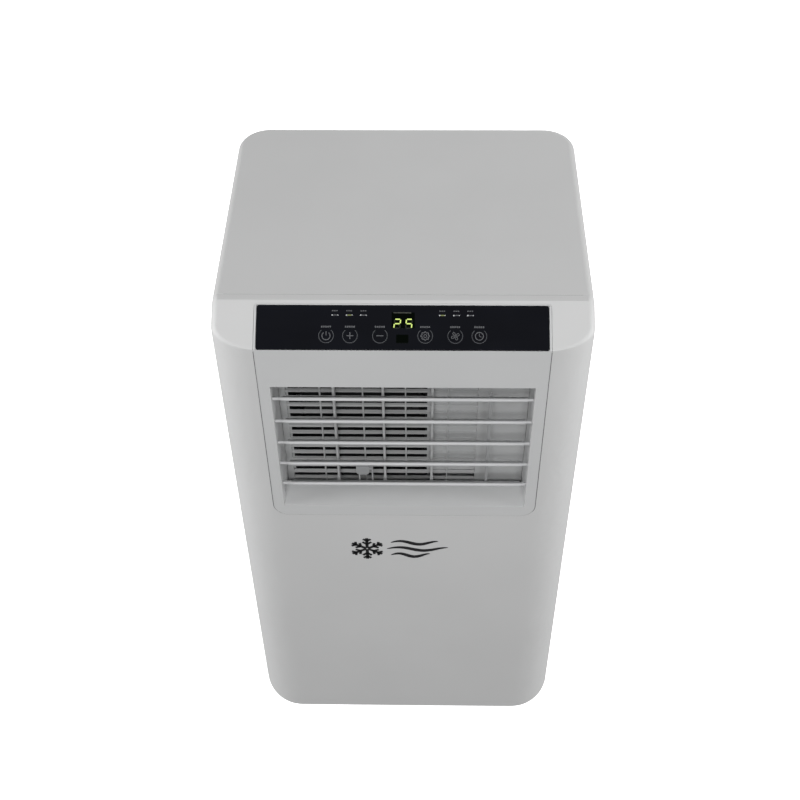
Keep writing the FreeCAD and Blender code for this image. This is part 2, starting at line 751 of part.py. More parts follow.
def louvres():
    """Each blade lies along its own Y from nose to tail, with its pivot at the origin, and is then tilted."""
    left, right, thick = cell("louvre_left"), cell("louvre_right"), cell("louvre_thick")
    nose, tail = cell("louvre_nose"), cell("louvre_tail")
    reach, notch = cell("outlet_half") + SKIN - 0.2, cell("crank_notch") / 2
    ends = {"nose": thick / 2 - nose, "tail": tail - thick / 2}
    for row, z in enumerate(LOUVRE_ROWS):
        name = f"louvre_{row + 1}"
        blade = box(f"{name}_blade", (-left, right), (ends["nose"], ends["tail"]), across(thick / 2))
        edges = [rod(f"{name}_{end}", X, -left, y, 0, thick / 2, left + right) for end, y in ends.items()]
        gap = box(f"{name}_notch", around(cell("crank_x"), notch), (cell("crank_arm") - 2.4, tail + 1),
                  across(thick))
        pins = [rod(f"{name}_pin_left", X, -reach, 0, 0, cell("louvre_pin"), reach - left + 1),
                rod(f"{name}_pin_right", X, right - 1, 0, 0, cell("louvre_pin"), reach - right + 1)]
        crank = rod(f"{name}_crank", X, cell("crank_x") - notch - 1, cell("crank_arm"), 0,
                    cell("crank_pin"), 2 * notch + 2)
        plate = cut(f"{name}_notched", fuse(f"{name}_plate", blade, *edges), gap)
        flat = fuse(f"{name}_flat", plate, *pins, crank)
        part(name, put(flat, 0, PIVOT_Y, z, X, -DIMENSIONS["louvre_tilt"]))


def louvre_link():
    """An upright strip behind the louvres with an eye round each louvre's crank pin."""
    half, bore = 1.2, cell("crank_pin") + RUNNING
    side = around(cell("crank_x"), half)
    places = [louvre_point(cell("crank_arm"), row) for row in range(LOUVRES)]
    near, top, bottom = places[0][0], places[0][1], places[-1][1]
    strip = box("link_strip", side, (near + 0.7, near + 4), (bottom - 4, top + 4))
    eyes = [rod(f"link_eye_{row}", X, side[0], y, z, bore + 1, 2 * half) for row, (y, z) in enumerate(places)]
    bores = [rod(f"link_bore_{row}", X, side[0] - 1, y, z, bore, 2 * half + 2)
             for row, (y, z) in enumerate(places)]
    part("louvre_link", cut("link_bored", fuse("link_solid", strip, *eyes), *bores))


LINK_Z = (OPENING[0] + cell("link_rise"), OPENING[0] + cell("link_rise") + cell("link_thick"))
VANE_CRANK = 1


def vanes():
    """Upright blades that turn on pins in the ledge and the tunnel's roof. An ear carries each link pin."""
    low, high = OPENING[0] + 0.6, OPENING[1] - 0.6
    nose, tail, thick = cell("vane_nose"), cell("vane_tail"), cell("vane_thick")
    crank_y, ear_half = VANE_Y - cell("vane_arm"), 1.6
    for column, x in enumerate(VANE_PLACES):
        name = f"vane_{column + 1}"
        blade = box(f"{name}_blade", around(x, thick / 2), (VANE_Y - nose, VANE_Y + tail), (low, high))
        pins = rod(f"{name}_pins", Z, x, VANE_Y, low - SKIN, cell("vane_pin"), high - low + 2 * SKIN)
        ear = box(f"{name}_ear", around(x, ear_half), (crank_y - ear_half, VANE_Y),
                  (LINK_Z[1] + FIT, LINK_Z[1] + FIT + ear_half))
        crank = rod(f"{name}_crank", Z, x, crank_y, LINK_Z[0], VANE_CRANK, LINK_Z[1] - LINK_Z[0] + 1)
        part(name, fuse(f"{name}_solid", blade, pins, ear, crank))


def vane_link():
    """A flat bar round the vanes' link pins. Two posts and a crosspiece behind it carry the thumb tab."""
    y, tab_x, half = VANE_Y - cell("vane_arm"), -cell("tab_x"), cell("tab_half")
    bottom = LINK_Z[1] + cell("tab_rise")
    top = bottom + cell("tab_height")
    bar = box("vane_bar", (VANE_PLACES[0] - 3, VANE_PLACES[-1] + 3), around(y, cell("link_half")), LINK_Z)
    posts_x = (tab_x - half + 3, tab_x + half + 3)
    posts = [box(f"tab_post_{side}", around(x, 0.7), around(y, 1), (LINK_Z[0], top - 3))
             for side, x in zip(SIDES, posts_x)]
    crosspiece = box("tab_crosspiece", (posts_x[0] - 0.7, posts_x[1] + 0.7), around(y, 1), (top - 6, top - 3))
    pad = box("tab_pad", around(tab_x, half), (y - 2, y + 0.5), (bottom, top))
    middle_z = float(bottom + cell("tab_height") / 2)
    lower = (Y, lambda middle: middle.z < middle_z)
    tab = rounded("tab_low", pad, cell("tab_corner"), lower)
    bore, long = VANE_CRANK + RUNNING, cell("link_thick") + 3
    bores = [rod(f"vane_link_bore_{column}", Z, x, y, LINK_Z[0] - 1, bore, long)
             for column, x in enumerate(VANE_PLACES)]
    solid = fuse("vane_link_solid", bar, *posts, crosspiece, tab)
    part("vane_link", cut("vane_link_bored", solid, *bores))


def outlet_guard():
    """The fixed slatted plate behind the vanes. A skin closes the slots that the blower isn't behind."""
    y = (FRONT + cell("guard_in"), FRONT + cell("guard_in") + cell("guard_thick"))
    low, high, half = up("well_up") + FIT, OPENING[1] - FIT, cell("outlet_half") - FIT
    plate = box("guard_plate", across(half), y, (low, high))
    skin_y, skin_z = (y[1], y[1] + cell("guard_skin")), (low + cell("guard_skin_rise"), high)
    skins = [box("guard_skin_left", (-half, -cell("blower_left") + SKIN), skin_y, skin_z),
             box("guard_skin_right", (cell("blower_right"), half), skin_y, skin_z)]
    ribs_x = [-cell("rib_first") + rib * cell("rib_pitch") for rib in range(RIBS)]
    edges = [-cell("slot_left"), *ribs_x, cell("slot_right")]
    slots = []
    for column, (left, right) in enumerate(zip(edges, edges[1:])):
        start = left + cell("rib_thick") / 2
        end = right - cell("rib_thick") / 2
        slots += [box(f"guard_slot_{column}_{row}", (start, end), (y[0] - 1, y[1]), (z, z + cell("slat_gap")))
                  for row, z in enumerate(SLOTS_Z)]
    part("outlet_guard", fuse("guard_solid", cut("guard_slotted", plate, *slots), *skins))


RIBS, SLOT_ROWS = 4, 18
SLOTS_Z = [up("well_up") + cell("slat_first") + row * cell("slat_pitch") for row in range(SLOT_ROWS)]


# ---- back: grilles, filters, port, handles, plugs, gland and screws ----

def grilles():
    """Each pull-off grille has a frame and level slats, and carries a filter screen behind them."""
    half, frame, pitch = cell("grille_half") - FIT, cell("grille_frame"), cell("grille_pitch")
    for name, (low_cell, high_cell) in GRILLES.items():
        low, high = up(low_cell) + FIT, up(high_cell) - FIT
        plate = box(f"{name}_grille_plate", across(half), (BACK - WALL, BACK - 0.3), (low, high))
        count = int(float(high - low - 2 * frame) // float(pitch))
        spans = {"left": (-half + frame, size(-1.5)), "right": (size(1.5), half - frame)}
        slots = []
        for row in range(count):
            start = low + frame + SKIN + row * pitch
            slots += [box(f"{name}_grille_slot_{row}_{side}", span, (BACK - WALL - 1, BACK + 1),
                          (start, start + cell("grille_slot"))) for side, span in spans.items()]
        part(f"{name}_grille", cut(f"{name}_grille_slotted", plate, *slots))
        filter_screen(name, half - 1, low + 1, high - 1)


def filter_screen(name, half, low, high):
    """A thin tray behind the grille, hollowed into four bays that hold the mesh."""
    back, rim, bays = BACK - WALL - FIT, 5, 4
    screen = box(f"{name}_filter_block", across(half), (back - cell("filter_thick"), back), (low, high))
    pitch = (half - rim) * 2 / bays
    starts = [rim - half + bay * pitch for bay in range(bays)]
    holes = [box(f"{name}_filter_bay_{bay}", (start + 1, start + pitch - 1), (back - 2, back + 1),
                 (low + rim, high - rim)) for bay, start in enumerate(starts)]
    part(f"{name}_filter", cut(f"{name}_filter_bays", screen, *holes))


def exhaust_collar():
    """The round hose port: a plain bore with its mouth flush with the back, and a flange behind the wall."""
    radius, length = cell("port_radius"), cell("port_length")
    flange = length - WALL - FIT
    sleeve = turned("collar_sleeve", [
        (radius, 0), (PORT_OUTER, 0), (PORT_OUTER, flange - cell("collar_flange")),
        (PORT_OUTER + 5, flange - cell("collar_flange")), (PORT_OUTER + 5, flange), (PORT_OUTER, flange),
        (PORT_OUTER, length), (radius, length)])
    part("exhaust_collar", put(sleeve, 0, BACK - length, up("port_up"), X, -90))


def handles():
    for side, sign in SIDES.items():
        cup = box(f"{side}_cup", sideways(sign, HALF - cell("grip_deep") - SKIN, HALF),
                  around(cell("grip_y"), GRIP_OUTER), around(up("grip_up"), GRIP_RISE))
        hollow = box(f"{side}_cup_hollow", sideways(sign, HALF - cell("grip_deep"), HALF + 1),
                     around(cell("grip_y"), cell("grip_half")), around(up("grip_up"), cell("grip_rise")))
        part(f"{side}_handle", cut(f"{side}_cup_open", cup, hollow))


def drain_plugs():
    stem, head, seat, length = cell("drain_radius") - RUNNING, cell("drain_radius") + 2.7, 11, 13.6
    for name, z in DRAINS.items():
        plug = turned(f"{name}_plug_body", [(0, 0), (stem - 1.2, 0), (stem, 1.5), (stem, seat), (head, seat),
                                            (head, length), (0, length)])
        part(f"{name}_drain_plug", put(plug, -cell("drain_x"), BACK - BOSS["drain"] + 0.1, z, X, -90))


def cord_gland():
    bore, outer, bore_end, length = cell("cord_radius"), cell("gland_radius") - 0.1, 16.4, 17.6
    bush = turned("gland_body", [(bore, 0), (outer - 2, 0), (outer, 3), (outer, length), (bore + 1.5, length),
                                 (bore, bore_end)])
    part("cord_gland", put(bush, cell("gland_x"), BACK - BOSS["gland"], up("gland_up"), X, -90))


def casing_screws():
    """Cross-head screws in the back wall, grouped as one sub-part of separate solids."""
    recess, half_long, half_wide = (BACK - 1.2, BACK), 2.4, 0.5
    heads = at_screws("screw_head", cell("screw_head"), 2, -0.4)
    shanks = at_screws("screw_shank", SCREW_BORE - 0.2, BOSS["screw"], -1)
    slots = []
    for side, sign in SIDES.items():
        for row, z in enumerate(SCREW_ROWS):
            x, tag = sign * cell("screw_x"), f"{side}_{row}"
            slots.append(box(f"screw_slot_{tag}", around(x, half_long), recess, around(z, half_wide)))
            slots.append(box(f"screw_cross_{tag}", around(x, half_wide), recess, around(z, half_long)))
    part("casing_screws", cut("screws_slotted", fuse("screws", *heads, *shanks), *slots))


# ---- cold side, above the tray ----

def bladed_wheel(name, left, right, y, z, radius, blades):
    """A squirrel-cage wheel on a shaft along X, with a solid back plate and a ring at the open end."""
    length, rim = right - left, 13
    plate = rod(f"{name}_plate", X, right - 2, y, z, radius, 2)
    ring = cut(f"{name}_ring", rod(f"{name}_ring_out", X, left, y, z, radius, 2),
               rod(f"{name}_ring_in", X, left - 1, y, z, radius - rim, 4))
    shaft = rod(f"{name}_shaft", X, left + 8, y, z, cell("shaft_radius"), length + 14)
    reach, lean = radius - rim + 0.6, 20
    vanes_round = []
    for turn in range(blades):
        blade = bind(add("Part::Box", f"{name}_blade_{turn}"), Length=length - 1, Width=rim - 1, Height=1.2)
        angle = 360 / blades * turn
        blade.Placement = FreeCAD.Placement(FreeCAD.Vector(), FreeCAD.Rotation(X, angle + lean))
        bind(blade, Placement__Base__x=left + 0.5,
             Placement__Base__y=y + reach * math.cos(math.radians(angle)),
             Placement__Base__z=z + reach * math.sin(math.radians(angle)))
        vanes_round.append(blade)
    limit = rod(f"{name}_limit", X, left, y, z, radius, length + 30)
    return common(f"{name}_trimmed", fuse(f"{name}_all", plate, ring, shaft, *vanes_round), limit)


def motor(label, x, y, z, radius, length, reach):
    """A can motor along X with a shaft bore in its near face and four arms back to the housing wall."""
    can = rod(f"{label}_can", X, x, y, z, radius, length)
    out, half = 0.8 * radius, 3
    ways = ((1, 0), (-1, 0), (0, 1), (0, -1))
    arms = [box(f"{label}_arm_{row}", (x - reach, x + 8), around(y + dy * out, half),
                around(z + dz * out, half)) for row, (dy, dz) in enumerate(ways)]
    bore = rod(f"{label}_bore", X, x - 1, y, z, cell("shaft_radius") + RUNNING, 16)
    part(label, cut(f"{label}_bored", fuse(f"{label}_solid", can, *arms), bore))


SUCTION_X, SUCTION_Y, CAPILLARY_X = 134, 104, 147
MOTOR_GAP = 8


def drain_tray():
    """The tray between the two sides catches the water from the cold coil. Two pipes pass through it."""
    floor, rim = up("tray_up"), 18
    y = (SEAM + 6, BACK - 15)
    spout, bore = drain_spout("upper", y[1])
    block = box("tray_block", across(HALF - 9), y, (floor, floor + rim))
    hollow = box("tray_hollow", across(HALF - 11), (y[0] + SKIN, y[1] - SKIN),
                 (floor + WALL, floor + rim + 1))
    passages = [rod("tray_hole_suction", Z, -SUCTION_X, SUCTION_Y, floor - 1, cell("pipe_radius") + 2, 20),
                rod("tray_hole_capillary", Z, -CAPILLARY_X, SUCTION_Y, floor - 1,
                    cell("capillary_radius") + 2, 20)]
    part("drain_tray", cut("tray_open", fuse("tray_solid", block, spout), bore, hollow, *passages))


def blower():
    """The scroll that feeds the outlet, the wheel in it and the motor on its right."""
    left, right, y, z = -cell("blower_left"), cell("blower_right"), cell("blower_y"), up("blower_up")
    outer, front = cell("blower_radius") + 10, FRONT + cell("tunnel_in")
    air_left, air_right, air = left + SKIN, right - SKIN, outer - SKIN
    scroll = fuse("blower_scroll", rod("blower_round", X, left, y, z, outer, right - left),
                  box("blower_duct", (left, right), (front, y), around(z, outer)))
    hollow = fuse("blower_air", rod("blower_round_air", X, air_left, y, z, air, air_right - air_left),
                  box("blower_duct_air", (air_left, air_right), (front - 1, y), around(z, air)))
    inlets = rod("blower_inlets", X, left - 1, y, z, cell("blower_radius") - 14, right - left + 2)
    part("blower_housing", cut("blower_case", scroll, hollow, inlets))
    part("blower_wheel", bladed_wheel("cold", left + 8, right - 6, y, z, cell("blower_radius"), 28))
    motor("blower_motor", right + MOTOR_GAP, y, z, 34, 46, MOTOR_GAP)


def coil(label, low, high):
    """A finned block with tubes that come out past both ends, joined in pairs by return bends."""
    half, pitch, first, end = cell("coil_half"), 20, 10, 6
    y = (cell("evaporator_y"), cell("evaporator_y") + cell("coil_thick"))
    middle = y[0] + cell("coil_thick") / 2
    block = box(f"{label}_fins", across(half), y, (low, high))
    rows = int(float(high - low) // pitch)
    tubes = [rod(f"{label}_tube_{row}", X, -half - end, middle, low + first + row * pitch,
                 cell("pipe_radius"), 2 * (half + end)) for row in range(rows)]
    bends = [box(f"{label}_bend_{row}", sideways(sign, half + end - 2, half + end + 2), around(middle, 3.5),
                 (low + first + row * pitch, low + first + (row + 1) * pitch))
             for row, sign in zip(range(rows - 1), (1, -1) * rows)]
    part(label, fuse(f"{label}_solid", block, *tubes, *bends))


# ---- warm side, below the tray ----

def port_grid(reach):
    """Crossed bars in the fan's outlet, behind the hose port's bore, that keep fingers out."""
    y = (BACK - cell("port_length") - cell("grid_in"), BACK - cell("port_length") - cell("grid_in") + 3)
    half, pitch = cell("grid_bar") / 2, cell("grid_pitch")
    steps = (-2, -1, 0, 1, 2)
    upright = [box(f"grid_upright_{step}", around(step * pitch, half), y, around(up("port_up"), reach - 1))
               for step in steps]
    level = [box(f"grid_level_{step}", across(reach), y, around(up("port_up") + step * pitch, half))
             for step in steps]
    return upright + level


def condenser_fan():
    """The scroll that blows warm air out of the hose port, the wheel in it and the motor on its right."""
    left, right, y, z = -cell("fan_left"), cell("fan_right"), cell("fan_y"), up("fan_up")
    outer, back, reach = cell("fan_radius") + 8, BACK - cell("port_length") - FIT, cell("port_radius") + 3
    duct_back, duct_low, port = BACK - 50, z - outer + 20, up("port_up")
    plenum_front, side, low = duct_back - 6, reach - SKIN, reach - 1
    scroll = fuse("fan_scroll", rod("fan_round", X, left, y, z, outer, right - left),
                  box("fan_duct", (left, right), (y, duct_back), (duct_low, z + outer)),
                  box("fan_plenum", across(reach), (plenum_front, back), around(port, low)))
    long = right - left - 2 * SKIN
    hollow = fuse("fan_air", rod("fan_round_air", X, left + SKIN, y, z, outer - SKIN, long),
                  box("fan_duct_air", (left + SKIN, right - SKIN), (y, duct_back),
                      (duct_low + SKIN, z + outer - SKIN)),
                  box("fan_plenum_air", across(side), (plenum_front + SKIN, back + 1),
                      around(port, low - SKIN)))
    inlets = rod("fan_inlets", X, left - 1, y, z, cell("fan_radius") - 12, right - left + 2)
    case = cut("fan_hollow", scroll, hollow, inlets)
    part("condenser_fan_housing", fuse("fan_case", case, *port_grid(reach - 1)))
    part("condenser_fan_wheel", bladed_wheel("warm", left + 7, right - 6, y, z, cell("fan_radius"), 24))
    motor("condenser_fan_motor", right + MOTOR_GAP, y, z, 32, 42, MOTOR_GAP)


TANK_X, TANK_Y = -30, -98
CAN_X, CAN_Y, CAN_LOW = -cell("compressor_x"), -cell("compressor_y"), BASE + 18


def compressor():
    """A welded can on three feet, with the suction accumulator beside it."""
    height, circle, foot_thick = cell("compressor_height"), 58, 3
    can = put(padded("compressor_can", cell("compressor_radius"), height, 14), CAN_X, CAN_Y, CAN_LOW)
    feet, grommets = [], []
    for foot, angle in enumerate((0, 120, 240)):
        out = FreeCAD.Vector(math.cos(math.radians(angle)), math.sin(math.radians(angle)), 0)
        place = CAN_X + circle * out.x, CAN_Y + circle * out.y
        feet.append(rod(f"compressor_foot_{foot}", Z, *place, CAN_LOW - foot_thick, 11, foot_thick))
        arm = bind(add("Part::Box", f"compressor_arm_{foot}"), Length=50, Width=16, Height=foot_thick)
        arm.Placement = FreeCAD.Placement(FreeCAD.Vector(), FreeCAD.Rotation(Z, angle))
        feet.append(bind(arm, Placement__Base__x=CAN_X + 8 * (out.x + out.y),
                         Placement__Base__y=CAN_Y + 8 * (out.y - out.x),
                         Placement__Base__z=CAN_LOW - foot_thick))
        grommet = turned(f"grommet_{foot}", [(3, 0), (9, 0), (9, 4), (6.5, 6), (9, 8), (9, 11.8), (3, 11.8)])
        grommets.append(put(grommet, *place, BASE + WALL + 0.1))
    tank = put(padded("accumulator_can", 17, 118, 8), TANK_X, TANK_Y, CAN_LOW + 82)
    band = box("accumulator_band", (CAN_X, size(TANK_X)), (TANK_Y - 2, CAN_Y), (CAN_LOW + 130, CAN_LOW + 150))
    clip = common("accumulator_clip", band, rod("clip_round", Z, CAN_X, CAN_Y, CAN_LOW + 120, 84, 40))
    cap = rod("terminal_cap", Z, CAN_X, CAN_Y, CAN_LOW + height - 2, 16, 12)
    part("compressor", fuse("compressor_solid", can, tank, clip, cap, *feet))
    part("compressor_grommets", fuse("grommets", *grommets))


def pipe(label, radius, points):
    """A bent tube through the points: a straight run between each pair and a ball at each bend."""
    points = [FreeCAD.Vector(*(float(amount) for amount in point)) for point in points]
    pieces = []
    for number, (start, end) in enumerate(zip(points, points[1:])):
        run = end - start
        straight = bind(add("Part::Cylinder", f"{label}_run_{number}"), Radius=radius, Height=run.Length)
        straight.Placement = FreeCAD.Placement(start, FreeCAD.Rotation(Z, run))
        pieces.append(straight)
    pieces += [ball(f"{label}_bend_{number}", point.x, point.y, point.z, radius)
               for number, point in enumerate(points[1:-1])]
    part(label, fuse(f"{label}_solid", *pieces))


def pipes():
    """The refrigerant's way round: coil to compressor, compressor to coil, and the capillary back."""
    end, row = -cell("coil_half") - 6, cell("evaporator_y") + cell("coil_thick") / 2
    cold_low, warm_low = up("tray_up") + 18, up("lower_low_up") + 6
    warm_high, crossing, over_can = warm_low + 100, 325, 302
    pipe("suction_pipe", cell("pipe_radius"), [
        (end, row, cold_low), (-SUCTION_X, SUCTION_Y, cold_low), (-SUCTION_X, SUCTION_Y, crossing),
        (-SUCTION_X, TANK_Y, crossing), (TANK_X, TANK_Y, crossing), (TANK_X, TANK_Y, CAN_LOW + 199)])
    cap_top = CAN_LOW + cell("compressor_height") + 9
    pipe("discharge_pipe", cell("pipe_radius"), [
        (CAN_X, CAN_Y, cap_top), (CAN_X, CAN_Y, over_can),
        (end - 6, CAN_Y, over_can), (end - 6, row, over_can),
        (end - 6, row, warm_high), (end + 1, row, warm_high)])
    pipe("capillary_tube", cell("capillary_radius"), [
        (end + 1, row, warm_low), (-CAPILLARY_X, SUCTION_Y, warm_low),
        (-CAPILLARY_X, SUCTION_Y, cold_low + 40), (end + 1, row, cold_low + 40)])


SPLASH_X, SPLASH_Y, SPLASH_Z = -14, 62, BASE + 36


def splash():
    """A paddle wheel that throws the pan's water on to the warm coil, and the motor beside it."""
    x, y, z, reach, shaft = SPLASH_X, SPLASH_Y, SPLASH_Z, 18, 2.5
    disc = rod("splash_disc", X, x - 1.5, y, z, cell("splash_radius") - 6, 3)
    paddles = []
    for turn in range(8):
        angle = math.radians(45 * turn)
        paddle = bind(add("Part::Box", f"splash_paddle_{turn}"), Length=8, Width=10, Height=1.5)
        paddle.Placement = FreeCAD.Placement(FreeCAD.Vector(), FreeCAD.Rotation(X, 45 * turn))
        paddles.append(bind(paddle, Placement__Base__x=x - 4, Placement__Base__y=y + reach * math.cos(angle),
                            Placement__Base__z=z + reach * math.sin(angle)))
    spindle = rod("splash_shaft", X, x - 1, y, z, shaft, 26)
    part("splash_wheel", fuse("splash_solid", disc, spindle, *paddles))
    can = rod("splash_can", X, x + 14, y, z, 17, 30)
    leg = box("splash_leg", (x + 18, size(x + 40)), around(y, 12), (BASE + WALL, z))
    bore = rod("splash_bore", X, x + 13, y, z, shaft + RUNNING, 14)
    part("splash_motor", cut("splash_motor_bored", fuse("splash_motor_solid", can, leg), bore))


def float_switch():
    """A ring that slides up its post when the pan fills."""
    bore, outer, high = FLOAT_POST + RUNNING, cell("float_radius"), 12
    ring = turned("float_body", [(bore, 0), (outer, 0), (outer, high), (bore, high)])
    part("float_switch", put(ring, FLOAT_X, FLOAT_Y, BASE + WALL + 0.2))


def electrics():
    """An open box above the blower, with the main board on four feet in it."""
    low, height = up("outlet_high_up") - 4, 40
    x, y = (-100, size(100)), (-88, size(62))
    block = box("control_block", x, y, (low, low + height))
    hollow = box("control_hollow", (x[0] + 2, x[1] - 2), (y[0] + 2, y[1] - 2), (low + 2, low + height + 1))
    part("control_box", cut("control_tray", block, hollow))
    deck = low + 8
    board = box("main_plate", (-80, size(80)), (-74, size(46)), (deck, deck + cell("board_thick")))
    feet = [rod(f"main_foot_{x}_{y}", Z, x, y, low + 2, 3, 7) for x in (-74, 74) for y in (-68, 40)]
    components = ((-50, -30, 18, 24), (-5, 10, 12, 18), (45, -40, 9, 16), (50, 15, 14, 22))
    blocks = [box(f"main_block_{x}", around(x, half), around(y, half), (deck + 1, deck + tall))
              for x, y, half, tall in components]
    part("main_board", fuse("main_solid", board, *feet, *blocks))


front_casing()
rear_casing()
top_cover()
base_pan()
casters()
outlet_bezel()
control_panel()
louvres()
louvre_link()
vanes()
vane_link()
outlet_guard()
grilles()
exhaust_collar()
handles()
drain_plugs()
cord_gland()
casing_screws()
drain_tray()
coil("evaporator_coil", up("tray_up") + 8, up("upper_high_up") - 16)
blower()
coil("condenser_coil", up("lower_low_up") - 4, up("lower_high_up") + 4)
condenser_fan()
compressor()
pipes()
splash()
float_switch()
electrics()

doc.recompute()
failed = [item.Name for item in doc.Objects if "Invalid" in item.State or "Error" in item.State]
failed += [item.Label for item in PARTS if item.Shape.isNull() or not item.Shape.isValid()]
if failed:
    raise RuntimeError(f"these objects failed: {failed}")
os.makedirs("parts", exist_ok=True)
for item in PARTS:
    solids = len(item.Shape.Solids)
    print(f"{item.Label}: {solids} solid(s), {item.Shape.Volume / 1000:.1f} cm3")
    item.Shape.exportStep(f"parts/{item.Label}.step")
print(len(PARTS), "sub-parts")
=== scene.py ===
"""Looks for a portable air conditioner.

Materials, softened edges, filter strands, finned coils, the control panel's print and its painted highlights,
the mark on the front, the painted shade in the seams and the studio.
"""
import json
import math
import bmesh
import bpy
from mathutils import Matrix, Vector


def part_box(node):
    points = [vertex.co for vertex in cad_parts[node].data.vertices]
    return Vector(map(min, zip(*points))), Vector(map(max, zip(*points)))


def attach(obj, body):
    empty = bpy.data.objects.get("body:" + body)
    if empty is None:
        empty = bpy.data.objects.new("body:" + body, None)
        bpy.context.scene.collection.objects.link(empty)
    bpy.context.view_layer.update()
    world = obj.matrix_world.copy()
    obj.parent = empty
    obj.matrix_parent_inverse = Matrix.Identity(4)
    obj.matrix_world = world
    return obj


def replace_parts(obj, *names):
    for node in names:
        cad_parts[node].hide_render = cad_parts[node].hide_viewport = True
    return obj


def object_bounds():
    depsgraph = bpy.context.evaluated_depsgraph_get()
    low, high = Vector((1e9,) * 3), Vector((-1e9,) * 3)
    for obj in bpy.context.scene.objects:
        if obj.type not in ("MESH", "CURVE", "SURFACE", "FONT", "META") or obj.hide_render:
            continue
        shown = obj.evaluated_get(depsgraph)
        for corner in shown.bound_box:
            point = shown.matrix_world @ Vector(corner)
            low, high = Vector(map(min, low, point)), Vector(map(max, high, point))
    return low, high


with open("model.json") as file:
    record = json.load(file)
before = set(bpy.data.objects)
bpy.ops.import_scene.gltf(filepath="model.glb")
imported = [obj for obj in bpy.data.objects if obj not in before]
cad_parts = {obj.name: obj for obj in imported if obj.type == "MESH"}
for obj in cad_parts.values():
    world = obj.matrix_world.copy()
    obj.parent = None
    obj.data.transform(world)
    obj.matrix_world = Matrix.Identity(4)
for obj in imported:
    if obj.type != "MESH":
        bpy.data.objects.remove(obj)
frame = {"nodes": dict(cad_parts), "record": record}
cad_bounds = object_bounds()
NODES = frame["nodes"]
BODY_OF = {node: body for body, nodes in frame["record"]["behaviour"]["bodies"].items() for node in nodes}
SLOT_OF = {entry["node"]: entry["material_slot"] for entry in frame["record"]["subparts"]}

MM = 0.001
SLOPE = math.radians(32.4)  # the control slope's angle from level
LENS_THICK = 1.6 * MM
PRINT_THICK = 0.08 * MM


# ---- materials ----

NOISE_LOW, NOISE_HIGH = 0.3, 0.7  # most of a noise lies between these
TONE_LOW, TONE_HIGH = 0.35, 0.65  # the noise that gives the darker and the lighter tone
GLOSS_SPREAD = 0.035  # how far a moulding's roughness strays to each side


def shader(name, colour, roughness, **inputs):
    """A material with one Principled shader, whose constant inputs are set on its own sockets."""
    material = bpy.data.materials.new(name)
    material.use_nodes = True
    principled = material.node_tree.nodes["Principled BSDF"]
    principled.inputs["Base Color"].default_value = (*colour, 1)
    principled.inputs["Roughness"].default_value = roughness
    for key, amount in inputs.items():
        principled.inputs[key.replace("_", " ")].default_value = amount
    return material, material.node_tree, principled


def coordinates(tree):
    """The object's own coordinates, in metres."""
    return tree.nodes.new("ShaderNodeTexCoord").outputs["Object"]


def noise(tree, scale, detail=2.0, stretch=(1, 1, 1)):
    """Noise over the object's own coordinates. The scale is in cells per metre."""
    mapping = tree.nodes.new("ShaderNodeMapping")
    mapping.inputs["Scale"].default_value = stretch
    tree.links.new(coordinates(tree), mapping.inputs["Vector"])
    texture = tree.nodes.new("ShaderNodeTexNoise")
    texture.inputs["Scale"].default_value = scale
    texture.inputs["Detail"].default_value = detail
    tree.links.new(mapping.outputs["Vector"], texture.inputs["Vector"])
    return texture.outputs["Fac"]


def between(tree, factor, low, high):
    """The noise's middle stretch, spread over low to high."""
    spread = tree.nodes.new("ShaderNodeMapRange")
    spread.inputs["From Min"].default_value = NOISE_LOW
    spread.inputs["From Max"].default_value = NOISE_HIGH
    spread.inputs["To Min"].default_value = low
    spread.inputs["To Max"].default_value = high
    tree.links.new(factor, spread.inputs["Value"])
    return spread.outputs["Result"]


def mottle(tree, principled, factor, dark, light):
    """Varies the base colour between two close tones."""
    ramp = tree.nodes.new("ShaderNodeValToRGB")
    ramp.color_ramp.elements[0].position = TONE_LOW
    ramp.color_ramp.elements[1].position = TONE_HIGH
    ramp.color_ramp.elements[0].color = (*dark, 1)
    ramp.color_ramp.elements[1].color = (*light, 1)
    tree.links.new(factor, ramp.inputs["Fac"])
    tree.links.new(ramp.outputs["Color"], principled.inputs["Base Color"])


def bump(tree, principled, height, distance):
    """Shades the surface as if the height raised it by up to the distance, in metres."""
    node = tree.nodes.new("ShaderNodeBump")
    node.inputs["Distance"].default_value = distance
    node.inputs["Strength"].default_value = 1.0
    tree.links.new(height, node.inputs["Height"])
    tree.links.new(node.outputs["Normal"], principled.inputs["Normal"])


def tones(colour, spread):
    """The colour, darker and lighter by this share of itself."""
    return [tuple(min(1, channel * (1 + sign * spread)) for channel in colour) for sign in (-1, 1)]


def moulded(name, colour, roughness, grain=1400, depth=0.012 * MM, spread=0.012):
    """Moulded plastic: a fine etched grain, a little unevenness in gloss and a faint drift in tone."""
    material, tree, principled = shader(name, colour, roughness, IOR=1.49, Specular_IOR_Level=0.28)
    mottle(tree, principled, noise(tree, scale=9), *tones(colour, spread))
    patches = noise(tree, scale=45, detail=4)
    gloss = between(tree, patches, roughness - GLOSS_SPREAD, roughness + GLOSS_SPREAD)
    tree.links.new(gloss, principled.inputs["Roughness"])
    bump(tree, principled, noise(tree, scale=grain), depth)
    return material


def smoked_lens(name, colour, gleam):
    """Gloss acrylic over black ink, with the faintest orange peel and a few fine wipe marks."""
    material, tree, principled = shader(name, colour, 0.14, IOR=1.45, Specular_IOR_Level=gleam)
    mottle(tree, principled, noise(tree, scale=14), *tones(colour, 0.2))
    wipes = between(tree, noise(tree, scale=90, detail=5, stretch=(0.25, 1, 1)), low=0.12, high=0.18)
    tree.links.new(wipes, principled.inputs["Roughness"])
    bump(tree, principled, noise(tree, scale=160, detail=1), 0.01 * MM)
    return material


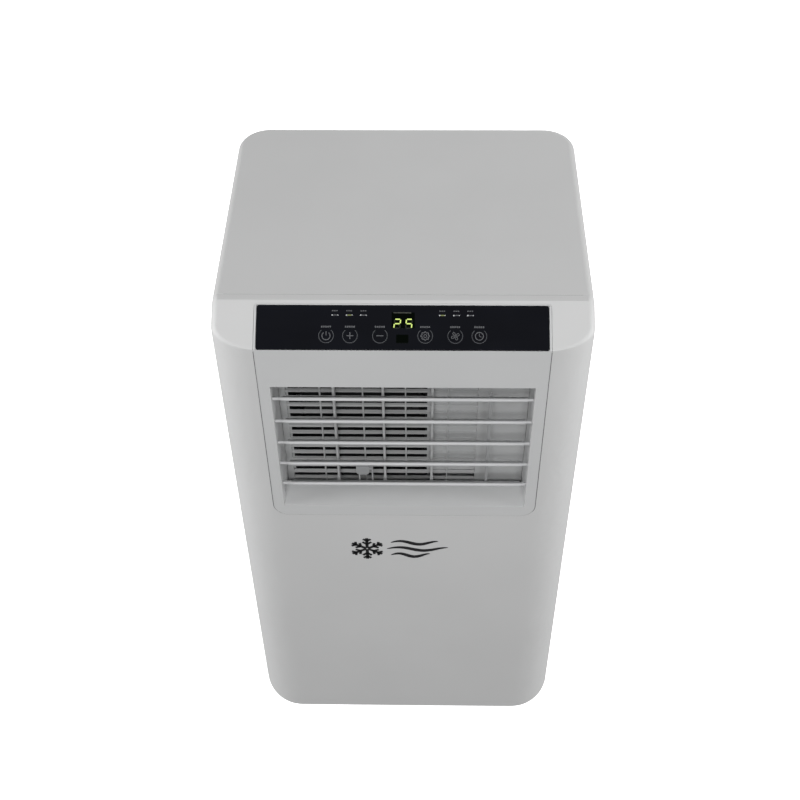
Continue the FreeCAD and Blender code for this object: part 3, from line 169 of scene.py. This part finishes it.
def metal(name, colour, roughness, stretch=(1, 1, 1)):
    """Bare metal with a fine grain, which a stretch draws out into lines along one axis."""
    material, tree, principled = shader(name, colour, roughness, Metallic=1.0)
    mottle(tree, principled, noise(tree, scale=30, detail=4), *tones(colour, 0.08))
    lines = noise(tree, scale=600, detail=3, stretch=stretch)
    gloss = between(tree, lines, roughness - 0.08, roughness + 0.1)
    tree.links.new(gloss, principled.inputs["Roughness"])
    bump(tree, principled, lines, 0.01 * MM)
    return material


def circuit_board(name):
    """Green solder mask with a pattern of tracks under it."""
    material, tree, principled = shader(name, (0.02, 0.11, 0.045), 0.35)
    brick = tree.nodes.new("ShaderNodeTexBrick")
    brick.inputs["Scale"].default_value = 140
    brick.inputs["Mortar Size"].default_value = 0.08
    brick.inputs["Color1"].default_value = (0.018, 0.10, 0.04, 1)
    brick.inputs["Color2"].default_value = (0.022, 0.12, 0.05, 1)
    brick.inputs["Mortar"].default_value = (0.05, 0.2, 0.09, 1)
    tree.links.new(coordinates(tree), brick.inputs["Vector"])
    tree.links.new(brick.outputs["Color"], principled.inputs["Base Color"])
    return material


def glowing(name, colour, strength):
    """A lit segment, whose glow varies slightly in a fine grain."""
    material, tree, principled = shader(name, (0.02, 0.02, 0.01), 0.4, Emission_Strength=strength)
    ramp = tree.nodes.new("ShaderNodeValToRGB")
    ramp.color_ramp.elements[0].color = (*[channel * 0.85 for channel in colour], 1)
    ramp.color_ramp.elements[1].color = (*colour, 1)
    tree.links.new(noise(tree, scale=900, detail=1), ramp.inputs["Fac"])
    tree.links.new(ramp.outputs["Color"], principled.inputs["Emission Color"])
    return material


def rubbery(name, colour, roughness):
    """Matt rubber with a fine pebbled surface."""
    material, tree, principled = shader(name, colour, roughness, Specular_IOR_Level=0.3)
    mottle(tree, principled, noise(tree, scale=60, detail=4), *tones(colour, 0.2))
    bump(tree, principled, noise(tree, scale=900, detail=3), 0.03 * MM)
    return material


MATERIALS = {
    "shell_white": moulded("shell_white", (0.52, 0.522, 0.522), 0.52),
    "bezel_white": moulded("bezel_white", (0.505, 0.51, 0.512), 0.48, grain=1700),
    "louvre_white": moulded("louvre_white", (0.47, 0.475, 0.48), 0.44, grain=2000, depth=0.006 * MM),
    "guard_grey": moulded("guard_grey", (0.405, 0.41, 0.412), 0.5, grain=2000, depth=0.006 * MM),
    # The links' darker grey is painted shade, for the shade they sit in behind the louvres.
    "link_painted_shade": moulded("link_painted_shade", (0.3, 0.305, 0.31), 0.5, grain=2000, depth=0.006 * MM),
    "black_lens": smoked_lens("black_lens", (0.0028, 0.0033, 0.0056), 0.34),
    "dark_plastic": moulded("dark_plastic", (0.028, 0.028, 0.03), 0.5, spread=0.1),
    "inner_black": moulded("inner_black", (0.005, 0.005, 0.006), 0.6, spread=0.1),
    "display": moulded("display", (0.02, 0.022, 0.018), 0.3, spread=0.1),
    "light_guide": moulded("light_guide", (0.5, 0.52, 0.46), 0.2),
    "circuit_board": circuit_board("circuit_board"),
    "filter_mesh": moulded("filter_mesh", (0.07, 0.075, 0.085), 0.6, spread=0.08),
    "strand": moulded("strand", (0.16, 0.17, 0.19), 0.5, spread=0.08),
    "grey_plastic": moulded("grey_plastic", (0.33, 0.335, 0.34), 0.55, spread=0.03),
    "fins": metal("fins", (0.74, 0.75, 0.76), 0.36, stretch=(1, 1, 0.05)),
    "copper": metal("copper", (0.72, 0.36, 0.22), 0.34),
    "steel": metal("steel", (0.56, 0.56, 0.57), 0.38, stretch=(0.1, 1, 1)),
    "black_steel": moulded("black_steel", (0.016, 0.016, 0.017), 0.35,
                           grain=700, depth=0.03 * MM, spread=0.15),
    "rubber": rubbery("rubber", (0.016, 0.016, 0.017), 0.75),
    "caster_tread": rubbery("caster_tread", (0.03, 0.03, 0.032), 0.62),
    # Painted shade: the dark strips laid in the narrow gaps between the mouldings.
    "painted_gap_shade": moulded("painted_gap_shade", (0.08, 0.08, 0.084), 0.6, spread=0.1),
    "ink": moulded("ink", (0.012, 0.012, 0.013), 0.5, spread=0.1),
    "ring_print": moulded("ring_print", (0.05, 0.052, 0.058), 0.5, spread=0.05),
    "pale_print": moulded("pale_print", (0.085, 0.087, 0.094), 0.5, spread=0.05),
    # Painted highlights: the bright dots where the indicators' light guides reflect.
    "painted_guide_highlight": moulded("painted_guide_highlight", (0.46, 0.47, 0.48), 0.5, spread=0.05),
    "window_print": smoked_lens("window_print", (0.0006, 0.0015, 0.0006), 0.1),
    # Painted highlight: the paler strip along the top of the display window.
    "painted_window_highlight": moulded("painted_window_highlight", (0.035, 0.037, 0.03), 0.5, spread=0.1),
    "unlit": moulded("unlit", (0.006, 0.009, 0.004), 0.4, spread=0.1),
    "glow": glowing("glow", (0.70, 0.9, 0.22), 1.15),
    "dim_glow": glowing("dim_glow", (0.17, 0.2, 0.06), 1.0),
}
# Each node takes the material named like its slot, apart from these.
LOOKS = {**SLOT_OF, "blower_housing": "inner_black", "blower_wheel": "inner_black",
         "louvre_link": "link_painted_shade", "vane_link": "link_painted_shade", "outlet_guard": "guard_grey",
         **{f"vane_{number}": "guard_grey" for number in (1, 2, 3)}}


def dress(piece, look):
    """Gives the piece this material and no other."""
    piece.data.materials.clear()
    piece.data.materials.append(MATERIALS[look])


for node, piece in NODES.items():
    dress(piece, LOOKS[node])


# ---- meshes ----

def new_piece(name, mesh, body, look):
    """Adds a piece to the scene, in its place, and lets it ride on a body."""
    piece = bpy.data.objects.new(name, mesh)
    bpy.context.scene.collection.objects.link(piece)
    dress(piece, look)
    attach(piece, body)
    return piece


def from_bmesh(name, build):
    """Makes a mesh of the bmesh, and frees the bmesh."""
    mesh = bpy.data.meshes.new(name)
    build.to_mesh(mesh)
    build.free()
    return mesh


def box_mm(node):
    """The low and high corners of a CAD node's box, in millimetres."""
    return [[value / MM for value in corner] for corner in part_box(node)]


# ---- softened edges ----

WELD = 0.002 * MM
FLAT_ANGLE, SHARP_ANGLE = math.radians(0.4), math.radians(32)


def softened(node, width):
    """Stands in for a CAD node with the same shape, its sharp edges rolled over to a moulding's radius."""
    build = bmesh.new()
    build.from_mesh(NODES[node].data)
    bmesh.ops.remove_doubles(build, verts=build.verts, dist=WELD)
    bmesh.ops.dissolve_limit(build, angle_limit=FLAT_ANGLE, verts=build.verts, edges=build.edges)
    for face in build.faces:
        face.smooth = True
    mesh = from_bmesh(f"{node}_moulding", build)
    piece = new_piece(f"{node}_moulding", mesh, BODY_OF[node], LOOKS[node])
    bevel = piece.modifiers.new("edges", "BEVEL")
    bevel.width = width
    bevel.segments = 2
    bevel.limit_method = "ANGLE"
    bevel.angle_limit = SHARP_ANGLE
    bevel.use_clamp_overlap = True
    shading = piece.modifiers.new("shading", "WEIGHTED_NORMAL")
    shading.weight = 100
    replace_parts(piece, node)


# The width of each node's rolled edge, in millimetres.
SOFT_EDGES = {
    "front_casing": 0.5, "rear_casing": 0.5, "top_cover": 0.5, "outlet_bezel": 0.45, "control_lens": 0.3,
    "outlet_guard": 0.12, "vane_link": 0.4, "louvre_link": 0.3, "exhaust_collar": 0.4,
    "upper_grille": 0.5, "lower_grille": 0.5, "left_handle": 0.8, "right_handle": 0.8,
    "upper_drain_plug": 0.4, "lower_drain_plug": 0.4, "cord_gland": 0.4,
    **{node: 0.5 for node in NODES if node.startswith("caster_")},
}
for node, width in SOFT_EDGES.items():
    softened(node, width * MM)


# ---- flat work: bands and patches with a slight thickness, laid on a plane ----

def plane(origin, across, upward):
    """A frame for flat work: its X runs across, its Y upward and its Z out of the surface."""
    out = Vector(across).cross(Vector(upward))
    turn = Matrix((Vector(across), Vector(upward), out)).transposed().to_4x4()
    return Matrix.Translation(Vector(origin)) @ turn


def prism(build, outline, place, thick=PRINT_THICK):
    """A flat patch with this outline, in millimetres on the plane."""
    low = [build.verts.new(place @ Vector((x * MM, y * MM, 0))) for x, y in outline]
    high = [build.verts.new(place @ Vector((x * MM, y * MM, thick))) for x, y in outline]
    build.faces.new(high)
    build.faces.new(low[::-1])
    for index in range(len(outline)):
        after = (index + 1) % len(outline)
        build.faces.new((low[index], low[after], high[after], high[index]))


def rectangle(build, left, low, right, high, place, thick=PRINT_THICK):
    """A rectangular patch, in millimetres on the plane."""
    prism(build, [(left, low), (right, low), (right, high), (left, high)], place, thick)


def band(build, points, width, place, closed=False, thick=PRINT_THICK):
    """A line of this width through the points. The width may also be a list, one number for each point."""
    widths = width if isinstance(width, list) else [width] * len(points)
    points = [Vector(point) for point in points]
    lefts, rights = [], []
    for index, point in enumerate(points):
        before = points[index - 1] if closed or index else point
        after = points[(index + 1) % len(points)] if closed or index + 1 < len(points) else point
        along = (after - before).normalized()
        aside = Vector((-along.y, along.x)) * widths[index] / 2
        lefts.append(tuple(point + aside))
        rights.append(tuple(point - aside))
    for index in range(len(points) if closed else len(points) - 1):
        after = (index + 1) % len(points)
        prism(build, [rights[index], rights[after], lefts[after], lefts[index]], place, thick)


def arc(middle, radius, start, end, steps=28):
    """Points on a circle from one angle to another, in degrees."""
    angles = [math.radians(start + (end - start) * step / steps) for step in range(steps + 1)]
    return [(middle[0] + radius * math.cos(angle), middle[1] + radius * math.sin(angle)) for angle in angles]


def circle(middle, radius, steps=28):
    """Points all round a circle, each of them once."""
    return arc(middle, radius, 0, 360, steps)[:-1]


def drawn_piece(name, node, look, draw):
    """Adds the piece that the function draws. It rides with the node, in the look given."""
    build = bmesh.new()
    draw(build)
    bmesh.ops.recalc_face_normals(build, faces=build.faces)
    return new_piece(name, from_bmesh(name, build), BODY_OF[node], look)


# ---- filters: woven strands over each bay of the screens ----

STRAND_PITCH, STRAND_WIDE = 2.4, 0.5
STRAND_BASE = 1.05  # the screen's sheet is 1 mm thick, and the strands clear it by 0.05 mm
STRAND_INSET = 2  # the strands end inside the screen's 5 mm rim
UPRIGHT_THICK, LEVEL_THICK = 0.4 * MM, 0.55 * MM


def weave(node):
    """Level and upright strands that cross on the screen's sheet, seen between the grille's slats."""
    (left, inner, bottom), (right, _, top) = box_mm(node)
    face = plane((0, (inner + STRAND_BASE) * MM, 0), (-1, 0, 0), (0, 0, 1))
    half = (right - left) / 2 - STRAND_INSET
    low, high = bottom + STRAND_INSET, top - STRAND_INSET

    def draw(build):
        for step in range(int(2 * half / STRAND_PITCH)):
            x = -half + (step + 0.5) * STRAND_PITCH
            rectangle(build, x, low, x + STRAND_WIDE, high, face, UPRIGHT_THICK)
        for step in range(int((high - low) / STRAND_PITCH)):
            z = low + (step + 0.5) * STRAND_PITCH
            rectangle(build, -half, z, half, z + STRAND_WIDE, face, LEVEL_THICK)

    drawn_piece(f"{node}_strands", node, "strand", draw)


for node in ("upper_filter", "lower_filter"):
    weave(node)


# ---- coils: thin fins on a row of tubes ----

FIN_PITCH, FIN_THICK = 2.4, 0.2
TUBE_RADIUS, TUBE_PITCH, TUBE_SIDES = 4, 20, 20
TUBE_FIRST = 10  # the lowest tube's height over the fins' lower edge
BEND_OUT = 8  # how far the bends come out past the fins


def tube(build, start, end):
    """A round bar between two points, with a ball at each end that rounds its elbow."""
    start, end = Vector(start) * MM, Vector(end) * MM
    turn = (end - start).to_track_quat("Z", "Y").to_matrix().to_4x4()
    bmesh.ops.create_cone(build, segments=TUBE_SIDES, radius1=TUBE_RADIUS * MM, radius2=TUBE_RADIUS * MM,
                          depth=(end - start).length, matrix=Matrix.Translation((start + end) / 2) @ turn)
    for place in (start, end):
        bmesh.ops.create_uvsphere(build, u_segments=TUBE_SIDES, v_segments=TUBE_SIDES // 2,
                                  radius=TUBE_RADIUS * MM, matrix=Matrix.Translation(place))


def finned_coil(node):
    """Stands in for a coil's plain block: a stack of fins, level tubes through it and bends at their ends."""
    (_, near, low), (right, far, high) = box_mm(node)
    half, middle = right - BEND_OUT, (near + far) / 2
    reach = right - TUBE_RADIUS
    fin_plane = plane((0, 0, 0), (0, 1, 0), (0, 0, 1))
    rows = int((high - low) // TUBE_PITCH)

    def draw_fins(build):
        for step in range(int(2 * half / FIN_PITCH)):
            place = Matrix.Translation(((step + 0.5) * FIN_PITCH * MM - half * MM, 0, 0)) @ fin_plane
            rectangle(build, near, low, far, high, place, FIN_THICK * MM)

    def draw_tubes(build):
        for row in range(rows):
            z = low + TUBE_FIRST + row * TUBE_PITCH
            tube(build, (-reach, middle, z), (reach, middle, z))
            if row + 1 < rows:
                side = reach if row % 2 == 0 else -reach
                tube(build, (side, middle, z), (side, middle, z + TUBE_PITCH))
        for face in build.faces:
            face.smooth = True

    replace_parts(drawn_piece(f"{node}_stack", node, SLOT_OF[node], draw_fins), node)
    drawn_piece(f"{node}_tubes", node, "copper", draw_tubes)


for node in ("evaporator_coil", "condenser_coil"):
    finned_coil(node)


# ---- control panel: in millimetres across from the lens's middle and up from its lower edge ----

lens_low = Vector(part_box("control_lens")[0])
LENS_PLANE = plane((0, lens_low.y, lens_low.z + LENS_THICK * math.cos(SLOPE)), (1, 0, 0),
                   (0, math.cos(SLOPE), math.sin(SLOPE)))

KEYS = {"power": -65.1, "plus": -44.7, "minus": -19.1, "gear": 19.5, "fan": 45.1, "clock": 65.6}
KEYS_UP, KEY_RADIUS, LABEL_UP = 12.6, 6.3, 20.5
RING_START, RING_END, RING_LINE = 130, 410, 0.62  # a ring is open at the top, under its label
ICON_LINE = 0.75
FINE_LINE = ICON_LINE * 0.8
SMALL_STEPS, RING_STEPS = 20, 44
FAN_BLADE = [(0.5, -0.2), (1.6, 1.1), (3.0, 1.3), (3.7, 0.1), (2.9, -0.6), (1.5, -0.7)]
GEAR_RADIUS, GEAR_TOOTH, GEAR_TEETH, GEAR_STEPS = 3.3, 0.45, 8, 64
DASH_WIDE, DASH_PITCH = 1.3, 1.8
KEY_DASHES, KEY_DASHES_LEFT, KEY_DASH_HALF = 5, -4.4, 0.8
# A patch is thinner than a print that lies on it.
PATCH_THICK, DOT_THICK, DIGIT_THICK = 0.5 * PRINT_THICK, 1.5 * PRINT_THICK, 2 * PRINT_THICK

INDICATORS = (-57.8, -45.6, -33.4, 34.1, 46.2, 58.0)
LIT = (-45.6, 34.1)
INDICATOR_UP = 30.7
INDICATOR_BAR, INDICATOR_LINE = (-1.5, 1.9), 0.9
INDICATOR_ENDS = ((-2.3, 0.62), (2.4, 0.45))  # place and radius of the painted highlight at each end of a bar, where the light guide reflects
INDICATOR_DASHES, INDICATOR_DASHES_LEFT = 3, -2.6
INDICATOR_DASH_LOW, INDICATOR_DASH_HIGH = INDICATOR_UP + 3.3, INDICATOR_UP + 4.3

# The left, low, right and high edges of three patches.
WINDOW, WINDOW_HIGHLIGHT, SENSOR = (-9.3, 19.2, 10.5, 33.2), (-7.6, 32.4, 7.6, 33.4), (-5.2, 6.2, 5.2, 13.7)


def draw_icon(build, key, x, y):
    """The sign inside a touch key. Its measures are from the key's middle."""
    if key == "power":
        band(build, arc((x, y - 0.2), 3.5, 128, 412), ICON_LINE, LENS_PLANE)
        band(build, [(x, y + 0.2), (x, y + 3.6)], ICON_LINE, LENS_PLANE)
    elif key in ("plus", "minus"):
        band(build, [(x - 3, y), (x + 3, y)], ICON_LINE, LENS_PLANE)
        if key == "plus":
            band(build, [(x, y + 0.4), (x, y + 3)], ICON_LINE, LENS_PLANE)
            band(build, [(x, y - 0.4), (x, y - 3)], ICON_LINE, LENS_PLANE)
    elif key == "gear":
        turns = [math.tau * step / GEAR_STEPS for step in range(GEAR_STEPS)]
        lobes = [(x + (GEAR_RADIUS + GEAR_TOOTH * math.cos(GEAR_TEETH * turn)) * math.cos(turn),
                  y + (GEAR_RADIUS + GEAR_TOOTH * math.cos(GEAR_TEETH * turn)) * math.sin(turn))
                 for turn in turns]
        band(build, lobes, ICON_LINE, LENS_PLANE, closed=True)
        band(build, circle((x, y), 1.3, SMALL_STEPS), FINE_LINE, LENS_PLANE, closed=True)
    elif key == "fan":
        for quarter in range(4):
            turn = math.radians(90 * quarter + 20)
            spun = [(x + a * math.cos(turn) - b * math.sin(turn), y + a * math.sin(turn) + b * math.cos(turn))
                    for a, b in FAN_BLADE]
            band(build, spun, FINE_LINE, LENS_PLANE, closed=True)
    elif key == "clock":
        band(build, circle((x, y), 3.4), ICON_LINE, LENS_PLANE, closed=True)
        band(build, [(x, y + 2.4), (x, y), (x + 1.8, y - 0.9)], FINE_LINE, LENS_PLANE)


def draw_rings(build):
    """A ring round each touch key."""
    for x in KEYS.values():
        ring = arc((x, KEYS_UP), KEY_RADIUS, RING_START, RING_END, RING_STEPS)
        band(build, ring, RING_LINE, LENS_PLANE)


def draw_icons(build):
    """A sign in each touch key."""
    for key, x in KEYS.items():
        draw_icon(build, key, x, KEYS_UP)


def dashes(build, start, count, low, high):
    """A row of short dashes where a maker would put a word."""
    for dash in range(count):
        left = start + dash * DASH_PITCH
        rectangle(build, left, low, left + DASH_WIDE, high, LENS_PLANE)


def draw_labels(build):
    """Dashes over each touch key and over each indicator."""
    for x in KEYS.values():
        dashes(build, x + KEY_DASHES_LEFT, KEY_DASHES, LABEL_UP - KEY_DASH_HALF, LABEL_UP + KEY_DASH_HALF)
    for x in INDICATORS:
        dashes(build, x + INDICATOR_DASHES_LEFT, INDICATOR_DASHES, INDICATOR_DASH_LOW, INDICATOR_DASH_HIGH)


def draw_indicator_end_highlights(build):
    """A painted highlight at each end of every indicator bar: a bright dot where the light guide reflects."""
    for x in INDICATORS:
        for aside, radius in INDICATOR_ENDS:
            dot = circle((x + aside, INDICATOR_UP), radius, SMALL_STEPS)
            prism(build, dot, LENS_PLANE, DOT_THICK)


def draw_indicator_bars(build, lit):
    """Either the lit bars or the rest."""
    left, right = INDICATOR_BAR
    for x in INDICATORS:
        if (x in LIT) == lit:
            band(build, [(x + left, INDICATOR_UP), (x + right, INDICATOR_UP)], INDICATOR_LINE, LENS_PLANE)


# Each segment's two ends, in steps across and up.
SEGMENTS = {"top": ((0, 2), (1, 2)), "upper_left": ((0, 1), (0, 2)), "upper_right": ((1, 1), (1, 2)),
            "middle": ((0, 1), (1, 1)), "lower_left": ((0, 0), (0, 1)), "lower_right": ((1, 0), (1, 1)),
            "bottom": ((0, 0), (1, 0))}
# Each digit's left edge and its lit segments.
DIGITS = {-7.3: ("top", "upper_right", "middle", "lower_left"),
          2.7: ("top", "upper_left", "middle", "lower_right")}
DIGIT_WIDE, DIGIT_HIGH, DIGIT_UP, DIGIT_SLANT = 5.0, 3.9, 19.4, 0.10
SEGMENT_LINE, SEGMENT_INSET = 1.0, 0.1


def draw_digits(build, lit):
    """Seven slanted segments for each digit: either the lit ones or the rest."""
    for left, shown in DIGITS.items():
        for name, ends in SEGMENTS.items():
            if (name in shown) != lit:
                continue
            slanted = [(left + a * DIGIT_WIDE + b * DIGIT_HIGH * DIGIT_SLANT, DIGIT_UP + b * DIGIT_HIGH)
                       for a, b in ends]
            (ax, ay), (bx, by) = slanted
            inset_x, inset_y = (bx - ax) * SEGMENT_INSET, (by - ay) * SEGMENT_INSET
            points = [(ax + inset_x, ay + inset_y), (bx - inset_x, by - inset_y)]
            band(build, points, SEGMENT_LINE, LENS_PLANE, thick=DIGIT_THICK)


def draw_window(build):
    """The dark window round the two digits."""
    rectangle(build, *WINDOW, LENS_PLANE, PATCH_THICK)


def draw_window_highlight(build):
    """A painted highlight along the display window's upper edge, seen through the lens."""
    rectangle(build, *WINDOW_HIGHLIGHT, LENS_PLANE)


def draw_sensor(build):
    """The window in front of the remote control's receiver."""
    rectangle(build, *SENSOR, LENS_PLANE, PATCH_THICK)


drawn_piece("key_rings", "control_lens", "ring_print", draw_rings)
drawn_piece("key_icons", "control_lens", "pale_print", draw_icons)
drawn_piece("key_labels", "control_lens", "pale_print", draw_labels)
drawn_piece("indicator_end_highlights", "control_lens", "painted_guide_highlight", draw_indicator_end_highlights)
drawn_piece("lit_indicators", "control_lens", "dim_glow", lambda build: draw_indicator_bars(build, True))
drawn_piece("unlit_indicators", "control_lens", "pale_print", lambda build: draw_indicator_bars(build, False))
drawn_piece("display_window", "control_lens", "window_print", draw_window)
drawn_piece("window_highlight", "control_lens", "painted_window_highlight", draw_window_highlight)
drawn_piece("sensor_window", "control_lens", "window_print", draw_sensor)
drawn_piece("lit_segments", "control_lens", "glow", lambda build: draw_digits(build, True))
drawn_piece("unlit_segments", "control_lens", "unlit", lambda build: draw_digits(build, False))


# ---- the mark on the front: a snowflake and three lines of breeze ----

FRONT_PLANE = plane((0, cad_bounds[0][1], 0), (1, 0, 0), (0, 0, 1))
MARK_X, MARK_UP = -6.0, 364.0
FLAKE_X, FLAKE_REACH, FLAKE_LINE = MARK_X - 32, 17.5, 3.2
FLAKE_TURN = 30  # degrees from level to the first arm
BARBS = ((0.42, 0.3), (0.72, 0.26))  # each pair's place on an arm and its length, as shares of the arm
BARB_ALONG, BARB_ASIDE = 0.7, 0.85  # how much of its length a barb runs along the arm and away from it
ARM_START, BARB_LINE = FLAKE_LINE * 0.3, FLAKE_LINE * 0.85
BREEZES = ((-8, 48), (-12, 62), (-8, 40))  # each line's start, from the mark's middle, and its length
BREEZE_PITCH, BREEZE_SWELL, BREEZE_WAVES, BREEZE_STEPS = 10.5, 2.6, 1.25, 40
BREEZE_LINE, BREEZE_END, BREEZE_FULLNESS = 4.2, 0.12, 0.6


def draw_snowflake(build):
    """Six arms with two pairs of barbs each."""
    for arm in range(6):
        turn = math.radians(60 * arm + FLAKE_TURN)

        def spun(along, aside):
            return (FLAKE_X + along * math.cos(turn) - aside * math.sin(turn),
                    MARK_UP + along * math.sin(turn) + aside * math.cos(turn))

        band(build, [spun(ARM_START, 0), spun(FLAKE_REACH, 0)], FLAKE_LINE, FRONT_PLANE)
        for along, barb in BARBS:
            for side in (-1, 1):
                tip = spun(FLAKE_REACH * (along + barb * BARB_ALONG), side * FLAKE_REACH * barb * BARB_ASIDE)
                band(build, [spun(FLAKE_REACH * along, 0), tip], BARB_LINE, FRONT_PLANE)


def draw_breeze(build, x, y, length):
    """A wavy stroke that thins towards both of its ends."""
    shares = [step / BREEZE_STEPS for step in range(BREEZE_STEPS + 1)]
    points = [(x + length * share, y + BREEZE_SWELL * math.sin(math.tau * BREEZE_WAVES * share))
              for share in shares]
    widths = [BREEZE_LINE * (BREEZE_END + math.sin(math.pi * share) ** BREEZE_FULLNESS) for share in shares]
    band(build, points, widths, FRONT_PLANE)


def draw_mark(build):
    draw_snowflake(build)
    for row, (start, length) in enumerate(BREEZES):
        draw_breeze(build, MARK_X + start, MARK_UP + (1 - row) * BREEZE_PITCH, length)


drawn_piece("front_mark", "front_casing", "ink", draw_mark)


# ---- seams: painted shade, dark strips laid in the narrow gaps between the mouldings ----

BEZEL_LOW, BEZEL_CORNER, CORNER_STEPS = 419.4, 15, 12
GAP_MIDDLE, GAP_DEPTH = 0.15, 0.2
SEAM_WIDE, SEAM_TAPER, SEAM_THIN = 0.5, 0.3, 0.15
TOP_SEAM_Y = (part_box("front_casing")[1][1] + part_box("top_cover")[0][1]) / 2
TOP_SEAM_HALF, TOP_SEAM_WIDE = 155, 0.25
bezel_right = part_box("outlet_bezel")[1][0] / MM + GAP_MIDDLE


def draw_bezel_gap_shade(build):
    """Painted shade down both sides of the bezel and round its lower corners, where the line thins out."""
    place = plane((0, cad_bounds[0][1] + GAP_DEPTH * MM, 0), (1, 0, 0), (0, 0, 1))
    middle = (bezel_right - BEZEL_CORNER, BEZEL_LOW + BEZEL_CORNER - GAP_MIDDLE)
    corner = arc(middle, BEZEL_CORNER, 0, -90, CORNER_STEPS)
    thinning = [SEAM_WIDE - SEAM_TAPER * step / CORNER_STEPS for step in range(CORNER_STEPS + 1)]
    for side in (-1, 1):
        points = [(bezel_right, lens_low.z / MM - 1)] + corner + [(0, BEZEL_LOW - GAP_MIDDLE)]
        band(build, [(side * x, y) for x, y in points], [SEAM_WIDE] + thinning + [SEAM_THIN], place)


def draw_top_gap_shade(build):
    """Painted shade across the top, between the front casing and the cover."""
    place = plane((0, TOP_SEAM_Y, cad_bounds[1][2] - GAP_DEPTH * MM), (1, 0, 0), (0, 1, 0))
    band(build, [(-TOP_SEAM_HALF, 0), (TOP_SEAM_HALF, 0)], TOP_SEAM_WIDE, place)


drawn_piece("bezel_gap_shade", "front_casing", "painted_gap_shade", draw_bezel_gap_shade)
drawn_piece("top_gap_shade", "front_casing", "painted_gap_shade", draw_top_gap_shade)


# ---- studio ----

CAMERA_PLACE = (0.01832, -0.90282, 1.3925)
CAMERA_YAW, CAMERA_PITCH, CAMERA_ROLL = -1.574, 46.866, -0.842  # in degrees: right, down, anticlockwise
CAMERA_LENS, CAMERA_SENSOR = 56.207, 36
LIGHT_TARGET = (0, 0, 0.4)
# Each softbox: its place, width, height and power.
SOFTBOXES = {
    "key": ((-0.02, -3.2, 3.36), 1.5, 1.2, 124),
    "back": ((0.4, 2.8, 1.05), 1.6, 1.2, 34),
    "left_side": ((-2.0, -0.35, 0.85), 1.0, 1.3, 36),
    "right_side": ((2.0, -0.35, 0.85), 1.0, 1.3, 34),
}
WORLD_STRENGTH, GROUND_GLOW = 0.19, 0.72
FLOOR_REACH, BACKDROP_RADIUS = 6, 9


def camera():
    """The view from the front and well above, as a camera with a plain perspective."""
    yaw, pitch, roll = (math.radians(angle) for angle in (CAMERA_YAW, CAMERA_PITCH, CAMERA_ROLL))
    forward = Vector((math.sin(yaw) * math.cos(pitch), math.cos(yaw) * math.cos(pitch), -math.sin(pitch)))
    level = forward.cross(Vector((0, 0, 1))).normalized()
    upright = level.cross(forward)
    right = level * math.cos(roll) + upright * math.sin(roll)
    up = upright * math.cos(roll) - level * math.sin(roll)
    data = bpy.data.cameras.new("camera")
    data.lens = CAMERA_LENS
    data.sensor_width = CAMERA_SENSOR
    data.clip_start = 0.05
    data.clip_end = 50
    piece = bpy.data.objects.new("camera", data)
    turn = Matrix((right, up, -forward)).transposed().to_4x4()
    piece.matrix_world = Matrix.Translation(Vector(CAMERA_PLACE)) @ turn
    bpy.context.scene.collection.objects.link(piece)
    bpy.context.scene.camera = piece


def softbox(name, place, width, height, power):
    """A rectangular light that faces the machine."""
    data = bpy.data.lights.new(name, "AREA")
    data.shape = "RECTANGLE"
    data.size = width
    data.size_y = height
    data.energy = power
    lamp = bpy.data.objects.new(name, data)
    lamp.location = place
    lamp.rotation_mode = "QUATERNION"
    lamp.rotation_quaternion = (Vector(LIGHT_TARGET) - Vector(place)).to_track_quat("-Z", "Y")
    bpy.context.scene.collection.objects.link(lamp)


def ground_material():
    """White, and bright enough to show as plain white."""
    material, tree, principled = shader("floor", (0.93, 0.93, 0.93), 0.8, Emission_Strength=GROUND_GLOW)
    principled.inputs["Emission Color"].default_value = (1, 1, 1, 1)
    bump(tree, principled, noise(tree, scale=300), 0.02 * MM)
    return material


def studio():
    """Soft light from above the front, from behind and from both sides.

    The white floor and the backdrop round it cast no light back on the machine.
    """
    world = bpy.data.worlds.new("studio")
    bpy.context.scene.world = world
    world.use_nodes = True
    world.node_tree.nodes["Background"].inputs["Color"].default_value = (1, 1, 1, 1)
    world.node_tree.nodes["Background"].inputs["Strength"].default_value = WORLD_STRENGTH
    for name, settings in SOFTBOXES.items():
        softbox(name, *settings)
    ground = bmesh.new()
    bmesh.ops.create_grid(ground, x_segments=1, y_segments=1, size=FLOOR_REACH)
    floor = bpy.data.objects.new("floor", from_bmesh("floor", ground))
    dome = bmesh.new()
    bmesh.ops.create_uvsphere(dome, u_segments=48, v_segments=24, radius=BACKDROP_RADIUS)
    backdrop = bpy.data.objects.new("backdrop", from_bmesh("backdrop", dome))
    material = ground_material()
    for piece in (floor, backdrop):
        piece.data.materials.append(material)
        piece.visible_diffuse = False
        piece.visible_glossy = False
        bpy.context.scene.collection.objects.link(piece)
    backdrop.visible_shadow = False
    bpy.context.scene.view_settings.view_transform = "Standard"


camera()
studio()
